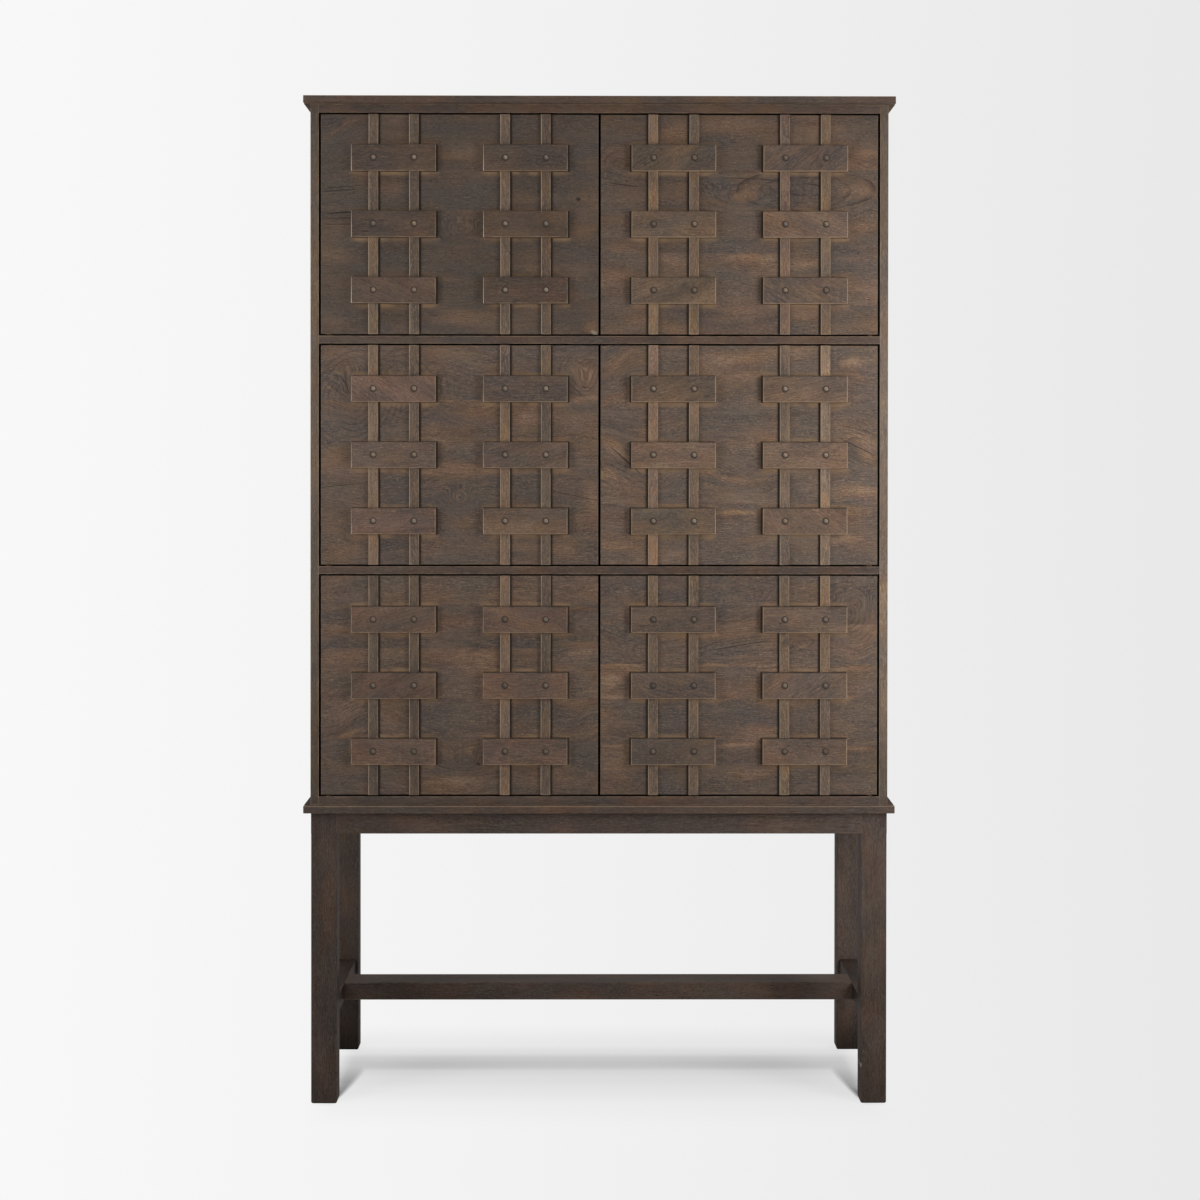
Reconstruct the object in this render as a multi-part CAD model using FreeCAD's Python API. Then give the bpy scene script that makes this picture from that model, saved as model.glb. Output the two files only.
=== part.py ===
import FreeCAD, Part
import os

from FreeCAD import Placement, Rotation, Vector

# A tall cabinet: a case with three rows of two inset doors, on an open stand with four legs.
# Millimetres, +Z up, front towards -Y, origin on the floor below the middle of the boards.

# Case
case_width = 1048.0
board_depth = 457.0
board_thickness = 13.5
board_reach = 12.0
board_easing = 1.2
side_thickness = 15.0
end_panel_thickness = 16.0
shelf_thickness = 14.0
opening_height = 404.0
housing_depth = 5.0
housing_stop = 20.0
back_thickness = 6.0
back_rebate = 8.0
moulding_height = 16.0

# Stand
leg_height = 530.0
leg_section = 47.0
leg_easing = 2.5
foot_easing = 4.0
stand_inset = 0.8
apron_height = 38.5
apron_thickness = 22.0
apron_easing = 1.5
apron_tenon_length = 20.0
apron_tenon_thickness = 10.0
apron_tenon_height = 22.0
stretcher_rise = 148.0
stretcher_height = 32.5
stretcher_easing = 2.0
side_stretcher_width = 36.0
side_tenon_length = 24.0
side_tenon_width = 14.0
side_tenon_height = 20.0
long_stretcher_width = 78.0
long_tenon_length = 18.0
long_tenon_width = 48.0
long_tenon_height = 12.0
cleat_section = 20.0
cleat_end_gap = 12.0

# Doors
door_thickness = 18.0
door_recess = 1.0
door_side_gap = 3.5
door_end_gap = 2.75
door_easing = 1.2
strap_width = 17.5
strap_thickness = 5.0
strap_easing = 0.8
block_length = 153.0
block_height = 48.0
block_stand = 11.0
block_easing = 1.2
block_rows = 3
ladder_margin = 56.0
block_margin = 55.5
lap_clearance = 0.15
peg_diameter = 12.7
peg_inset = 39.6
peg_crown = 0.8
peg_depth = 10.0
peg_clearance = 0.1

# Pivots
pin_diameter = 6.0
pin_reach = 12.0
pin_seat_clearance = 0.02
pin_running_clearance = 0.08
pin_end_clearance = 1.0
swing_clearance = 0.8
washer_diameter = 14.0
washer_clearance = 0.3

# Catches
catch_offset = 32.0
catch_width = 46.0
catch_height = 18.0
catch_depth = 14.0
magnet_width = 22.0
magnet_height = 10.0
magnet_depth = 9.0
magnet_stand = 0.6
catch_screw_spacing = 34.0
catch_screw_length = 27.0
strike_width = 40.0
strike_height = 10.0
strike_thickness = 1.2
strike_screw_spacing = 30.0
strike_screw_length = 10.0

# Screws
wood_screw_diameter = 4.0
wood_screw_head = 8.0
wood_screw_head_height = 2.2
small_screw_diameter = 2.6
small_screw_head = 4.8
small_screw_head_height = 1.2
screw_clearance = 0.05
board_screw_length = 25.0
board_screw_inset = 90.0
cleat_screw_length = 30.0
back_screw_length = 22.0
drive_depth_share = 0.5
drive_width_share = 0.18
drive_span_share = 0.55
board_screw_shares = [-0.8, 0.0, 0.8]
back_screw_shares = [-0.86, -0.43, 0.0, 0.43, 0.86]

overrun = 1.0
tolerance = 1e-6

# Places that follow from the sizes
case_half = case_width / 2
inner_half = case_half - side_thickness
board_half = case_half + board_reach
board_front = -board_depth / 2
case_back = board_depth / 2
case_front = board_front + board_reach
boards_back = case_back - back_thickness
base_board_floor = leg_height
case_floor = base_board_floor + board_thickness
row_pitch = opening_height + shelf_thickness
row_names = ["lower", "middle", "upper"]
row_floors = [case_floor + end_panel_thickness + row * row_pitch for row in range(len(row_names))]
top_panel_floor = row_floors[-1] + opening_height
top_board_floor = top_panel_floor + end_panel_thickness
shelf_floors = {"lower_shelf": row_floors[0] + opening_height, "upper_shelf": row_floors[1] + opening_height}

stand_half = case_half - stand_inset
stand_front = case_front + stand_inset
stand_back = case_back - stand_inset
stand_middle = (stand_front + stand_back) / 2
apron_floor = leg_height - apron_height
side_stretcher_middle = stand_half - leg_section / 2

side_names = {"left": -1, "right": 1}
door_width = (2 * inner_half - 3 * door_side_gap) / 2
door_height = opening_height - 2 * door_end_gap
door_front = case_front + door_recess
door_back = door_front + door_thickness
block_pitch = (door_height - 2 * block_margin - block_height) / (block_rows - 1)

# The corner of a door clears the side panel by the swing clearance as it turns about its pin
swing_gap = door_side_gap - swing_clearance
pivot_inset = ((door_thickness / 2) ** 2 - swing_gap ** 2) / (2 * swing_gap)
pivot_x = inner_half - door_side_gap - pivot_inset
pivot_y = (door_front + door_back) / 2

left_to_right = Vector(1, 0, 0)
front_to_back = Vector(0, 1, 0)
back_to_front = Vector(0, -1, 0)
upwards = Vector(0, 0, 1)


def box(*sides):
    """A box between two values on each axis, X then Y then Z, each pair in either order."""
    spans = [sorted(pair) for pair in zip(sides[::2], sides[1::2])]
    low, high = [Vector(*corner) for corner in zip(*spans)]
    size = high - low
    return Part.makeBox(size.x, size.y, size.z, low)


def rod(diameter, point, direction, length):
    """A round bar that starts at a point."""
    return Part.makeCylinder(diameter / 2, length, point, direction)


def eased(shape, radius, wanted):
    """The shape with the edges that pass the test rounded."""
    edges = [edge for edge in shape.Edges if wanted(edge)]
    return shape.makeFillet(radius, edges)


def runs_along(direction):
    """A test for edges parallel to a direction."""
    def test(edge):
        return edge.tangentAt(edge.FirstParameter).cross(direction).Length < tolerance
    return test


def lies_at_y(place):
    """A test for edges in the plane across the depth at a place."""
    def test(edge):
        return all(abs(vertex.Y - place) < tolerance for vertex in edge.Vertexes)
    return test


def lies_at_z(place):
    """A test for edges in the level plane at a height."""
    def test(edge):
        return all(abs(vertex.Z - place) < tolerance for vertex in edge.Vertexes)
    return test


def either(edge_test, other_test):
    """A test for edges that pass one of two tests."""
    def test(edge):
        return edge_test(edge) or other_test(edge)
    return test


def both(edge_test, other_test):
    """A test for edges that pass two tests."""
    def test(edge):
        return edge_test(edge) and other_test(edge)
    return test


def joined(first, others):
    """One solid made of shapes that overlap or touch."""
    return first.fuse(others).removeSplitter()


def without(shape, others):
    """The shape with the space of the others cut away."""
    return shape.cut(others).removeSplitter()


# Screws

def screw_form(diameter, head, head_height, length):
    """A countersunk screw without its drive, head face at the origin and driven along +Z."""
    shank = rod(diameter, Vector(), upwards, length)
    cone = Part.makeCone(head / 2, diameter / 2, head_height)
    return shank.fuse(cone).removeSplitter()


def screw(diameter, head, head_height, length):
    """A countersunk screw with a cross drive."""
    depth = head_height * drive_depth_share
    half_width = head * drive_width_share / 2
    half_span = head * drive_span_share / 2
    slot = box(-half_span, half_span, -half_width, half_width, -overrun, depth)
    cross_slot = box(-half_width, half_width, -half_span, half_span, -overrun, depth)
    return screw_form(diameter, head, head_height, length).cut([slot, cross_slot])


def screw_space(diameter, head, head_height, length):
    """The space that a screw fills, with its clearance all round."""
    wider = 2 * screw_clearance
    return screw_form(diameter + wider, head + wider, head_height, length + screw_clearance)


def placed(shape, point, direction):
    """A copy of a shape modelled at the origin along +Z, put at a point along a direction."""
    copy = shape.copy()
    copy.Placement = Placement(point, Rotation(upwards, direction))
    return copy


def screws_at(points, direction, diameter, head, head_height, length):
    """Equal screws at the points, and the spaces that they fill."""
    solid = screw(diameter, head, head_height, length)
    space = screw_space(diameter, head, head_height, length)
    return ([placed(solid, point, direction) for point in points],
            [placed(space, point, direction) for point in points])


def wood_screws_at(points, direction, length):
    size = (wood_screw_diameter, wood_screw_head, wood_screw_head_height)
    return screws_at(points, direction, *size, length)


def small_screws_at(points, direction, length):
    size = (small_screw_diameter, small_screw_head, small_screw_head_height)
    return screws_at(points, direction, *size, length)


# Stand

def apron_tenon(low_x, high_x, low_y, high_y):
    """A tenon at mid-height of the aprons."""
    middle = apron_floor + apron_height / 2
    return box(low_x, high_x, low_y, high_y, middle - apron_tenon_height / 2, middle + apron_tenon_height / 2)


def cross_apron(face, inwards):
    """The front or rear apron: its outer face and the sign of the way in along Y."""
    back = face + inwards * apron_thickness
    reach = stand_half - leg_section
    bar = box(-reach, reach, face, back, apron_floor, leg_height)
    bar = eased(bar, apron_easing, both(runs_along(left_to_right), lies_at_z(apron_floor)))
    middle = (face + back) / 2
    tenon = apron_tenon(-reach - apron_tenon_length, reach + apron_tenon_length,
                        middle - apron_tenon_thickness / 2, middle + apron_tenon_thickness / 2)
    return joined(bar, [tenon])


def side_apron(side):
    """An apron between a front and a rear leg."""
    face = side * stand_half
    back = face - side * apron_thickness
    front = stand_front + leg_section
    rear = stand_back - leg_section
    bar = box(face, back, front, rear, apron_floor, leg_height)
    bar = eased(bar, apron_easing, both(runs_along(front_to_back), lies_at_z(apron_floor)))
    middle = (face + back) / 2
    tenon = apron_tenon(middle - apron_tenon_thickness / 2, middle + apron_tenon_thickness / 2,
                        front - apron_tenon_length, rear + apron_tenon_length)
    return joined(bar, [tenon])


def side_stretcher(side):
    """A low rail between a front and a rear leg, with a mortise for the long stretcher."""
    middle = side * side_stretcher_middle
    front = stand_front + leg_section
    rear = stand_back - leg_section
    bar = box(middle - side_stretcher_width / 2, middle + side_stretcher_width / 2,
              front, rear, stretcher_rise, stretcher_rise + stretcher_height)
    bar = eased(bar, stretcher_easing, runs_along(front_to_back))
    centre = stretcher_rise + stretcher_height / 2
    tenon = box(middle - side_tenon_width / 2, middle + side_tenon_width / 2,
                front - side_tenon_length, rear + side_tenon_length,
                centre - side_tenon_height / 2, centre + side_tenon_height / 2)
    return joined(bar, [tenon])


def long_stretcher():
    """The flat rail that joins the two side stretchers."""
    reach = side_stretcher_middle - side_stretcher_width / 2
    bar = box(-reach, reach, stand_middle - long_stretcher_width / 2, stand_middle + long_stretcher_width / 2,
              stretcher_rise, stretcher_rise + stretcher_height)
    bar = eased(bar, stretcher_easing, runs_along(left_to_right))
    centre = stretcher_rise + stretcher_height / 2
    tenon = box(-reach - long_tenon_length, reach + long_tenon_length,
                stand_middle - long_tenon_width / 2, stand_middle + long_tenon_width / 2,
                centre - long_tenon_height / 2, centre + long_tenon_height / 2)
    return joined(bar, [tenon])


def leg(side, row, rails):
    """A square leg with mortises for the rails. Its edges are eased below the aprons."""
    outer = side * stand_half
    inner = outer - side * leg_section
    face = stand_front if row == "front" else stand_back - leg_section
    shaft = box(outer, inner, face, face + leg_section, 0, apron_floor)
    shaft = eased(shaft, leg_easing, runs_along(upwards))
    shaft = eased(shaft, foot_easing, lies_at_z(0))
    head = box(outer, inner, face, face + leg_section, apron_floor, leg_height)
    return without(joined(shaft, [head]), rails)


def cleat(face, inwards):
    """A strip inside the front or rear apron that takes the screws up into the base board."""
    back = face + inwards * cleat_section
    reach = stand_half - leg_section - cleat_end_gap
    return box(-reach, reach, face, back, leg_height - cleat_section, leg_height)


# Case

def board(floor):
    """The top or base board, eased along its front and its ends."""
    shape = box(-board_half, board_half, board_front, case_back, floor, floor + board_thickness)
    return eased(shape, board_easing, either(lies_at_y(board_front), runs_along(front_to_back)))


def case_board(floor, thickness):
    """A shelf or end panel between the sides, housed into them behind its front corners."""
    reach = inner_half + housing_depth
    shape = box(-reach, reach, case_front, boards_back, floor, floor + thickness)
    corners = [box(side * inner_half, side * (reach + overrun),
                   case_front - overrun, case_front + housing_stop,
                   floor - overrun, floor + thickness + overrun) for side in side_names.values()]
    return without(shape, corners)


def side_panel(side, housed):
    """A side of the case, with housings for the shelves and end panels and a rebate for the back."""
    outer = side * case_half
    inner = side * inner_half
    rebate = side * (inner_half + back_rebate)
    shape = box(outer, inner, case_front, case_back, case_floor, top_board_floor)
    rebate_space = box(inner - side * overrun, rebate, boards_back, case_back + overrun,
                       case_floor - overrun, top_board_floor + overrun)
    return without(shape, housed + [rebate_space])


def back_panel():
    """The thin back, let into the rebates of the sides."""
    reach = inner_half + back_rebate
    return box(-reach, reach, boards_back, case_back, case_floor, top_board_floor)


def moulding(side, board_level, case_level):
    """A bevelled strip in the corner between a side panel and the overhang of a board."""
    wall = side * case_half
    tip = side * board_half
    corners = [Vector(wall, case_front, board_level), Vector(tip, case_front, board_level),
               Vector(wall, case_front, case_level), Vector(wall, case_front, board_level)]
    face = Part.Face(Part.makePolygon(corners))
    return face.extrude(front_to_back * (case_back - case_front))


# Pivots

def pin_spans():
    """The lowest and highest point of each pivot pin of one side, from the bottom one up."""
    inside = door_end_gap + pin_reach
    lows = [case_floor] + [floor - inside for floor in shelf_floors.values()] + [top_panel_floor - inside]
    highs = ([row_floors[0] + inside] + [floor + shelf_thickness + inside for floor in shelf_floors.values()]
             + [top_board_floor])
    return list(zip(lows, highs))


def pivot_pins(wider):
    """The pins that the doors turn on, or the spaces that they fill."""
    return [rod(pin_diameter + 2 * wider, Vector(side * pivot_x, pivot_y, low), upwards, high - low)
            for side in side_names.values() for low, high in pin_spans()]


def washers():
    """A ring under the foot of each door that carries it."""
    rings = []
    for side in side_names.values():
        for floor in row_floors:
            centre = Vector(side * pivot_x, pivot_y, floor)
            ring = rod(washer_diameter, centre, upwards, door_end_gap)
            bore = rod(pin_diameter + 2 * washer_clearance, centre - upwards * overrun, upwards,
                       door_end_gap + 2 * overrun)
            rings.append(ring.cut(bore))
    return rings


# Catches

def catch_places():
    """The middle of each catch along X and the ceiling that it hangs from."""
    return [(side * catch_offset, floor + opening_height)
            for side in side_names.values() for floor in row_floors]


def catch_magnet(middle, ceiling):
    """The magnet, which meets the strike plate of the closed door."""
    front = door_back + strike_thickness
    centre = ceiling - catch_height / 2
    return box(middle - magnet_width / 2, middle + magnet_width / 2, front, front + magnet_depth,
               centre - magnet_height / 2, centre + magnet_height / 2)


def catch_screw_points(middle, ceiling):
    depth = door_back + strike_thickness + magnet_stand + catch_depth / 2
    return [Vector(middle + end * catch_screw_spacing / 2, depth, ceiling - catch_height)
            for end in side_names.values()]


def catch_housing(middle, ceiling, screw_spaces):
    """The shell that holds the magnet under the shelf or panel above."""
    front = door_back + strike_thickness + magnet_stand
    shape = box(middle - catch_width / 2, middle + catch_width / 2, front, front + catch_depth,
                ceiling - catch_height, ceiling)
    return without(shape, [catch_magnet(middle, ceiling)] + screw_spaces)


# Doors

class Door:
    """The places of one door and its pieces."""

    def __init__(self, row, side):
        self.side = side
        self.floor = row_floors[row] + door_end_gap
        self.ceiling = self.floor + door_height
        outer = side * (inner_half - door_side_gap)
        inner = outer - side * door_width
        self.left = min(outer, inner)
        self.right = max(outer, inner)
        self.pivot = side * pivot_x
        self.ladders = [self.left + ladder_margin, self.right - ladder_margin - block_length]
        self.block_floors = [self.floor + block_margin + rung * block_pitch for rung in range(block_rows)]
        self.strap_middles = [ladder + inset for ladder in self.ladders
                              for inset in (peg_inset, block_length - peg_inset)]

    def strap_space(self, middle, wider):
        """A square strip over the whole height of the door."""
        half = strap_width / 2 + wider
        return box(middle - half, middle + half, door_front - strap_thickness, door_front,
                   self.floor, self.ceiling)

    def peg_points(self):
        """The middle of each peg at the front of its block."""
        return [Vector(middle, door_front - block_stand, floor + block_height / 2)
                for floor in self.block_floors for middle in self.strap_middles]

    def peg_holes(self):
        """Holes for the pegs through the blocks and straps and into the panel."""
        return [rod(peg_diameter + 2 * peg_clearance, point - front_to_back * overrun, front_to_back,
                    block_stand + peg_depth + overrun) for point in self.peg_points()]

    def panel(self):
        """The leaf of the door, bored for its pivot pins and its pegs."""
        shape = box(self.left, self.right, door_front, door_back, self.floor, self.ceiling)
        shape = eased(shape, door_easing, lies_at_y(door_front))
        depth = pin_reach + pin_end_clearance
        bore = pin_diameter + 2 * pin_running_clearance
        foot = Vector(self.pivot, pivot_y, self.floor - overrun)
        head = Vector(self.pivot, pivot_y, self.ceiling - depth)
        bores = [rod(bore, foot, upwards, depth + overrun), rod(bore, head, upwards, depth + overrun)]
        spaces = small_screws_at(self.strike_screw_points(), back_to_front, strike_screw_length)[1]
        return without(shape, bores + self.peg_holes() + spaces)

    def straps(self):
        """The strips under the blocks, eased along their front edges."""
        long_front = both(runs_along(upwards), lies_at_y(door_front - strap_thickness))
        bars = [self.strap_space(middle, 0) for middle in self.strap_middles]
        return [without(eased(bar, strap_easing, long_front), self.peg_holes()) for bar in bars]

    def blocks(self):
        """The short boards laid over the straps."""
        cuts = self.peg_holes() + [self.strap_space(middle, lap_clearance) for middle in self.strap_middles]
        shapes = []
        for floor in self.block_floors:
            for ladder in self.ladders:
                face = door_front - block_stand
                shape = box(ladder, ladder + block_length, face, door_front, floor, floor + block_height)
                shapes.append(without(eased(shape, block_easing, lies_at_y(face)), cuts))
        return shapes

    def pegs(self):
        """Round pegs that stand a little proud of the blocks."""
        shapes = []
        for point in self.peg_points():
            start = point - front_to_back * peg_crown
            shape = rod(peg_diameter, start, front_to_back, peg_crown + block_stand + peg_depth)
            shapes.append(eased(shape, peg_crown, lies_at_y(start.y)))
        return shapes

    def strike_middle(self):
        ceiling = self.ceiling + door_end_gap
        return Vector(self.side * catch_offset, door_back + strike_thickness, ceiling - catch_height / 2)

    def strike_screw_points(self):
        middle = self.strike_middle()
        return [middle + left_to_right * (end * strike_screw_spacing / 2) for end in side_names.values()]

    def strike(self):
        """The plate on the back of the door that the magnet holds, and its screws."""
        middle = self.strike_middle()
        plate = box(middle.x - strike_width / 2, middle.x + strike_width / 2, door_back, middle.y,
                    middle.z - strike_height / 2, middle.z + strike_height / 2)
        screws, spaces = small_screws_at(self.strike_screw_points(), back_to_front, strike_screw_length)
        return [without(plate, spaces)] + screws


def stand_pieces():
    """The stand: the legs, the rails that join them and the strips inside the aprons."""
    pieces = {"front_apron": cross_apron(stand_front, 1), "rear_apron": cross_apron(stand_back, -1)}
    for name, side in side_names.items():
        pieces[name + "_apron"] = side_apron(side)
        pieces[name + "_stretcher"] = side_stretcher(side)
    rails = list(pieces.values())
    for name, side in side_names.items():
        for row in ("front", "rear"):
            pieces[row + "_" + name + "_leg"] = leg(side, row, rails)
    long = long_stretcher()
    for name in side_names:
        pieces[name + "_stretcher"] = without(pieces[name + "_stretcher"], [long])
    pieces["long_stretcher"] = long
    pieces["apron_cleats"] = [cleat(stand_front + apron_thickness, 1),
                              cleat(stand_back - apron_thickness, -1)]
    return pieces


def case_pieces():
    """The case: boards, end panels, shelves, sides, back and mouldings."""
    pieces = {"base_board": board(base_board_floor), "top_board": board(top_board_floor)}
    housed = {"bottom_panel": case_board(case_floor, end_panel_thickness),
              "top_panel": case_board(top_panel_floor, end_panel_thickness)}
    for name, floor in shelf_floors.items():
        housed[name] = case_board(floor, shelf_thickness)
    pieces.update(housed)
    for name, side in side_names.items():
        pieces[name + "_side_panel"] = side_panel(side, list(housed.values()))
    pieces["back_panel"] = back_panel()
    pieces["top_mouldings"] = [moulding(side, top_board_floor, top_board_floor - moulding_height)
                               for side in side_names.values()]
    pieces["base_mouldings"] = [moulding(side, case_floor, case_floor + moulding_height)
                                for side in side_names.values()]
    return pieces


def add_fixings(pieces):
    """Adds the pins, washers, catches and screws, and bores the pieces that hold them."""
    case_boards = ["bottom_panel", "lower_shelf", "upper_shelf", "top_panel"]
    pieces["pivot_pins"] = pivot_pins(0)
    pieces["pivot_washers"] = washers()
    bores = {name: pivot_pins(pin_seat_clearance) for name in case_boards}

    rows = [case_front + board_screw_inset, case_back - board_screw_inset]
    up_points = [Vector(share * inner_half, row, top_panel_floor)
                 for share in board_screw_shares for row in rows]
    base_points = [Vector(share * inner_half, row, base_board_floor)
                   for share in board_screw_shares for row in rows]
    cleat_rows = [stand_front + apron_thickness + cleat_section / 2,
                  stand_back - apron_thickness - cleat_section / 2]
    cleat_points = [Vector(share * inner_half, row, leg_height - cleat_section)
                    for share in board_screw_shares for row in cleat_rows]
    board_screws, board_spaces = wood_screws_at(up_points + base_points, upwards, board_screw_length)
    cleat_screws, cleat_spaces = wood_screws_at(cleat_points, upwards, cleat_screw_length)
    pieces["board_screws"] = board_screws + cleat_screws
    pieces["top_board"] = without(pieces["top_board"], board_spaces)
    pieces["base_board"] = without(pieces["base_board"], board_spaces + cleat_spaces)
    pieces["apron_cleats"] = [without(strip, cleat_spaces) for strip in pieces["apron_cleats"]]
    bores["top_panel"] += board_spaces
    bores["bottom_panel"] += board_spaces

    levels = [case_floor + end_panel_thickness / 2, top_panel_floor + end_panel_thickness / 2]
    levels += [floor + shelf_thickness / 2 for floor in shelf_floors.values()]
    back_points = [Vector(share * inner_half, case_back, level)
                   for level in levels for share in back_screw_shares]
    pieces["back_screws"], back_spaces = wood_screws_at(back_points, back_to_front, back_screw_length)
    pieces["back_panel"] = without(pieces["back_panel"], back_spaces)

    catch_points = [point for place in catch_places() for point in catch_screw_points(*place)]
    pieces["catch_screws"], catch_spaces = small_screws_at(catch_points, upwards, catch_screw_length)
    pieces["catch_magnets"] = [catch_magnet(*place) for place in catch_places()]
    pieces["catch_housings"] = [catch_housing(*place, catch_spaces) for place in catch_places()]
    for name in case_boards:
        pieces[name] = without(pieces[name], bores[name] + back_spaces + catch_spaces)


def door_pieces():
    """The six doors."""
    pieces = {}
    for row, row_name in enumerate(row_names):
        for side_name, side in side_names.items():
            door = Door(row, side)
            name = row_name + "_" + side_name + "_"
            pieces[name + "panel"] = door.panel()
            pieces[name + "straps"] = door.straps()
            pieces[name + "blocks"] = door.blocks()
            pieces[name + "pegs"] = door.pegs()
            pieces[name + "strike"] = door.strike()
    return pieces


def main():
    os.makedirs("parts", exist_ok=True)
    pieces = {**stand_pieces(), **case_pieces()}
    add_fixings(pieces)
    pieces.update(door_pieces())
    for name, shapes in pieces.items():
        if not isinstance(shapes, list):
            shapes = [shapes]
        Part.makeCompound(shapes).exportStep("parts/" + name + ".step")
    print(len(pieces), "nodes")


main()
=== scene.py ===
"""Looks of the tall six-door cabinet on its open stand.

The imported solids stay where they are. The straps, cross blocks and pegs that repeat on the doors are made
again with eased edges, and each surface gets its wood, steel, brass or plastic. Sizes of wooden pieces and
of patterns on them are in millimetres, and meshes, lamps, camera and room are in metres.
"""

import math

import bpy
from mathutils import Matrix, Vector


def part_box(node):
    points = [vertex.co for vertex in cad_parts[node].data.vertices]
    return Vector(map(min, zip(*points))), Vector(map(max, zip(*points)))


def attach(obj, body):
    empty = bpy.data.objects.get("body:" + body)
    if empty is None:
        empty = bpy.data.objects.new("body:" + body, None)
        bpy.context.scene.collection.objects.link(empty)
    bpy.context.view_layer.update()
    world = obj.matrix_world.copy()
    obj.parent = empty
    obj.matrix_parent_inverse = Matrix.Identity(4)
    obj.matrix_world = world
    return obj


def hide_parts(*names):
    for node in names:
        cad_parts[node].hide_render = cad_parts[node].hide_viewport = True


MM = 0.001

DOORS = [f"{row}_{side}" for row in ("lower", "middle", "upper") for side in ("left", "right")]

# Cross blocks, straps and pegs of a door. A ladder is a pair of straps with its three blocks.
BLOCK_SIZE = (153.0, 11.0, 48.0)
BLOCK_HALF = tuple(size / 2 for size in BLOCK_SIZE)
BLOCK_EASE = 1.3
BLOCKS_UP = 3
BLOCK_ROW_PITCH = 119.75
STRAP_WIDTH = 17.5
STRAP_EASE = 0.9
PEG_HALF = (6.35, 6.35, 30.0)
PEG_CROWN = 0.8
PEG_BARE_RADIUS = 4.7
PEG_INSET = 39.6
PEG_ASIDE = BLOCK_HALF[0] - PEG_INSET

# Camera that stands where the photograph was taken from
CAMERA_PLACE = (-0.025, -4.374, 1.128)
CAMERA_PITCH_DEG = -0.45
CAMERA_YAW_DEG = -0.36
CAMERA_ROLL_DEG = 0.052
CAMERA_FOCAL_PX = 2290.7
CAMERA_SHIFT_Y = -0.0821
IMAGE_PX = 1200.0

# Light of the pale room: dim on the camera's side, and brighter from the lit wall behind
FILL_IN_FRONT = 0.18
FILL_BEHIND = 0.45

# Shading kept by the floor from in front of the cabinet to behind it: place in metres, share
FLOOR_SHADE = (
    (-0.38, 0.0), (-0.24, 0.08), (-0.12, 0.2), (-0.04, 0.29), (0.01, 0.37), (0.05, 0.58), (0.07, 0.58),
    (0.11, 0.48), (0.16, 0.26), (0.22, 0.14), (0.42, 0.0),
)

# Which of X, Y and Z (0, 1, 2) runs along the grain, across it, and through the board
ALONG_X = (0, 2, 1)
ALONG_Y = (1, 2, 0)
ALONG_Z = (2, 0, 1)

# Stain tones of the wood: dark streak, ground, rubbed light streak, warm patch and cool patch
UMBER_DOOR = ("#221b17", "#4f443c", "#7a6551", "#5c4a3e", "#47403c")
BROWN_DOOR = ("#241c18", "#57493f", "#897059", "#655043", "#4c4440")
TAN_DOOR = ("#29211c", "#5f5046", "#967c62", "#6d5749", "#544b46")
CASE_TONES = ("#27201c", "#4b3d35", "#68584b", "#564132", "#3f3732")
STILE_TONES = ("#3b312a", "#64564a", "#8f7f6f", "#6c5743", "#564c45")
STAND_TONES = ("#221c19", "#3c332e", "#504640", "#443730", "#36302d")
STRAP_TONES = ("#32281f", "#625347", "#957b60", "#6e5947", "#504640")
BLOCK_TONES = ("#261e1a", "#51443b", "#7f6751", "#5f4c40", "#463d39")
PEG_TONES = ("#3a3029", "#6e6254", "#8f8170", "#75614c", "#5f554b")

# Single colours, from dark to light: stains, and painted shade, light and highlights
# Painted shade: corners beside blocks and straps, gaps, under the top board's front, faces in shadow
PAINTED_SHADE = "#120d0a"
# Painted shade in the gap round each peg
RING_GAP_SHADE = "#221b17"
DARK_VEIN = "#241d1a"
PEG_SHADOW = "#2b221d"
# Painted light on the long stretcher's top face
PAINTED_TOP_LIGHT = "#665a51"
WIPED_GOLD = "#846a50"
# Rims of the cross blocks: wear with a painted highlight
GOLDEN_WEAR_AND_HIGHLIGHT = "#8a745c"
# Painted highlight along the base board's top front edge
BOARD_EDGE_HIGHLIGHT = "#8a725a"
CHIPPED_FOOT = "#8f857a"
# Left edges of the straps: wear with a painted highlight
PALE_WEAR_AND_HIGHLIGHT = "#a0937f"
# Right end edges of the cross blocks: wear with a painted highlight where they face the right lamp
RIGHT_END_WEAR_AND_HIGHLIGHT = "#a08a70"
WORN_EDGE = "#a38b72"
# Left end edges of the cross blocks: wear with a painted highlight where they face the left lamp
LEFT_END_WEAR_AND_HIGHLIGHT = "#c9b8a4"


def linear(hex_colour):
    """Turns an sRGB hex value into the linear colour that a socket takes."""
    channels = [int(hex_colour[i : i + 2], 16) / 255 for i in (1, 3, 5)]
    flat = [c / 12.92 if c <= 0.04045 else ((c + 0.055) / 1.055) ** 2.4 for c in channels]
    return (*flat, 1.0)


def add(tree, kind, *values, **settings):
    """Adds one node. values feed its sockets in order, and a dict among them by name or number.

    A value is a number, one output of a node, or a node, which stands for its first output in use.
    """
    made = tree.nodes.new(kind)
    for name, value in settings.items():
        setattr(made, name, value)
    fed = {}
    for i, value in enumerate(values):
        fed.update(value if isinstance(value, dict) else {i: value})
    for socket, value in fed.items():
        if isinstance(value, bpy.types.Node):
            value = next(output for output in value.outputs if output.enabled)
        if isinstance(value, bpy.types.NodeSocket):
            tree.links.new(value, made.inputs[socket])
        else:
            made.inputs[socket].default_value = value
    return made


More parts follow.
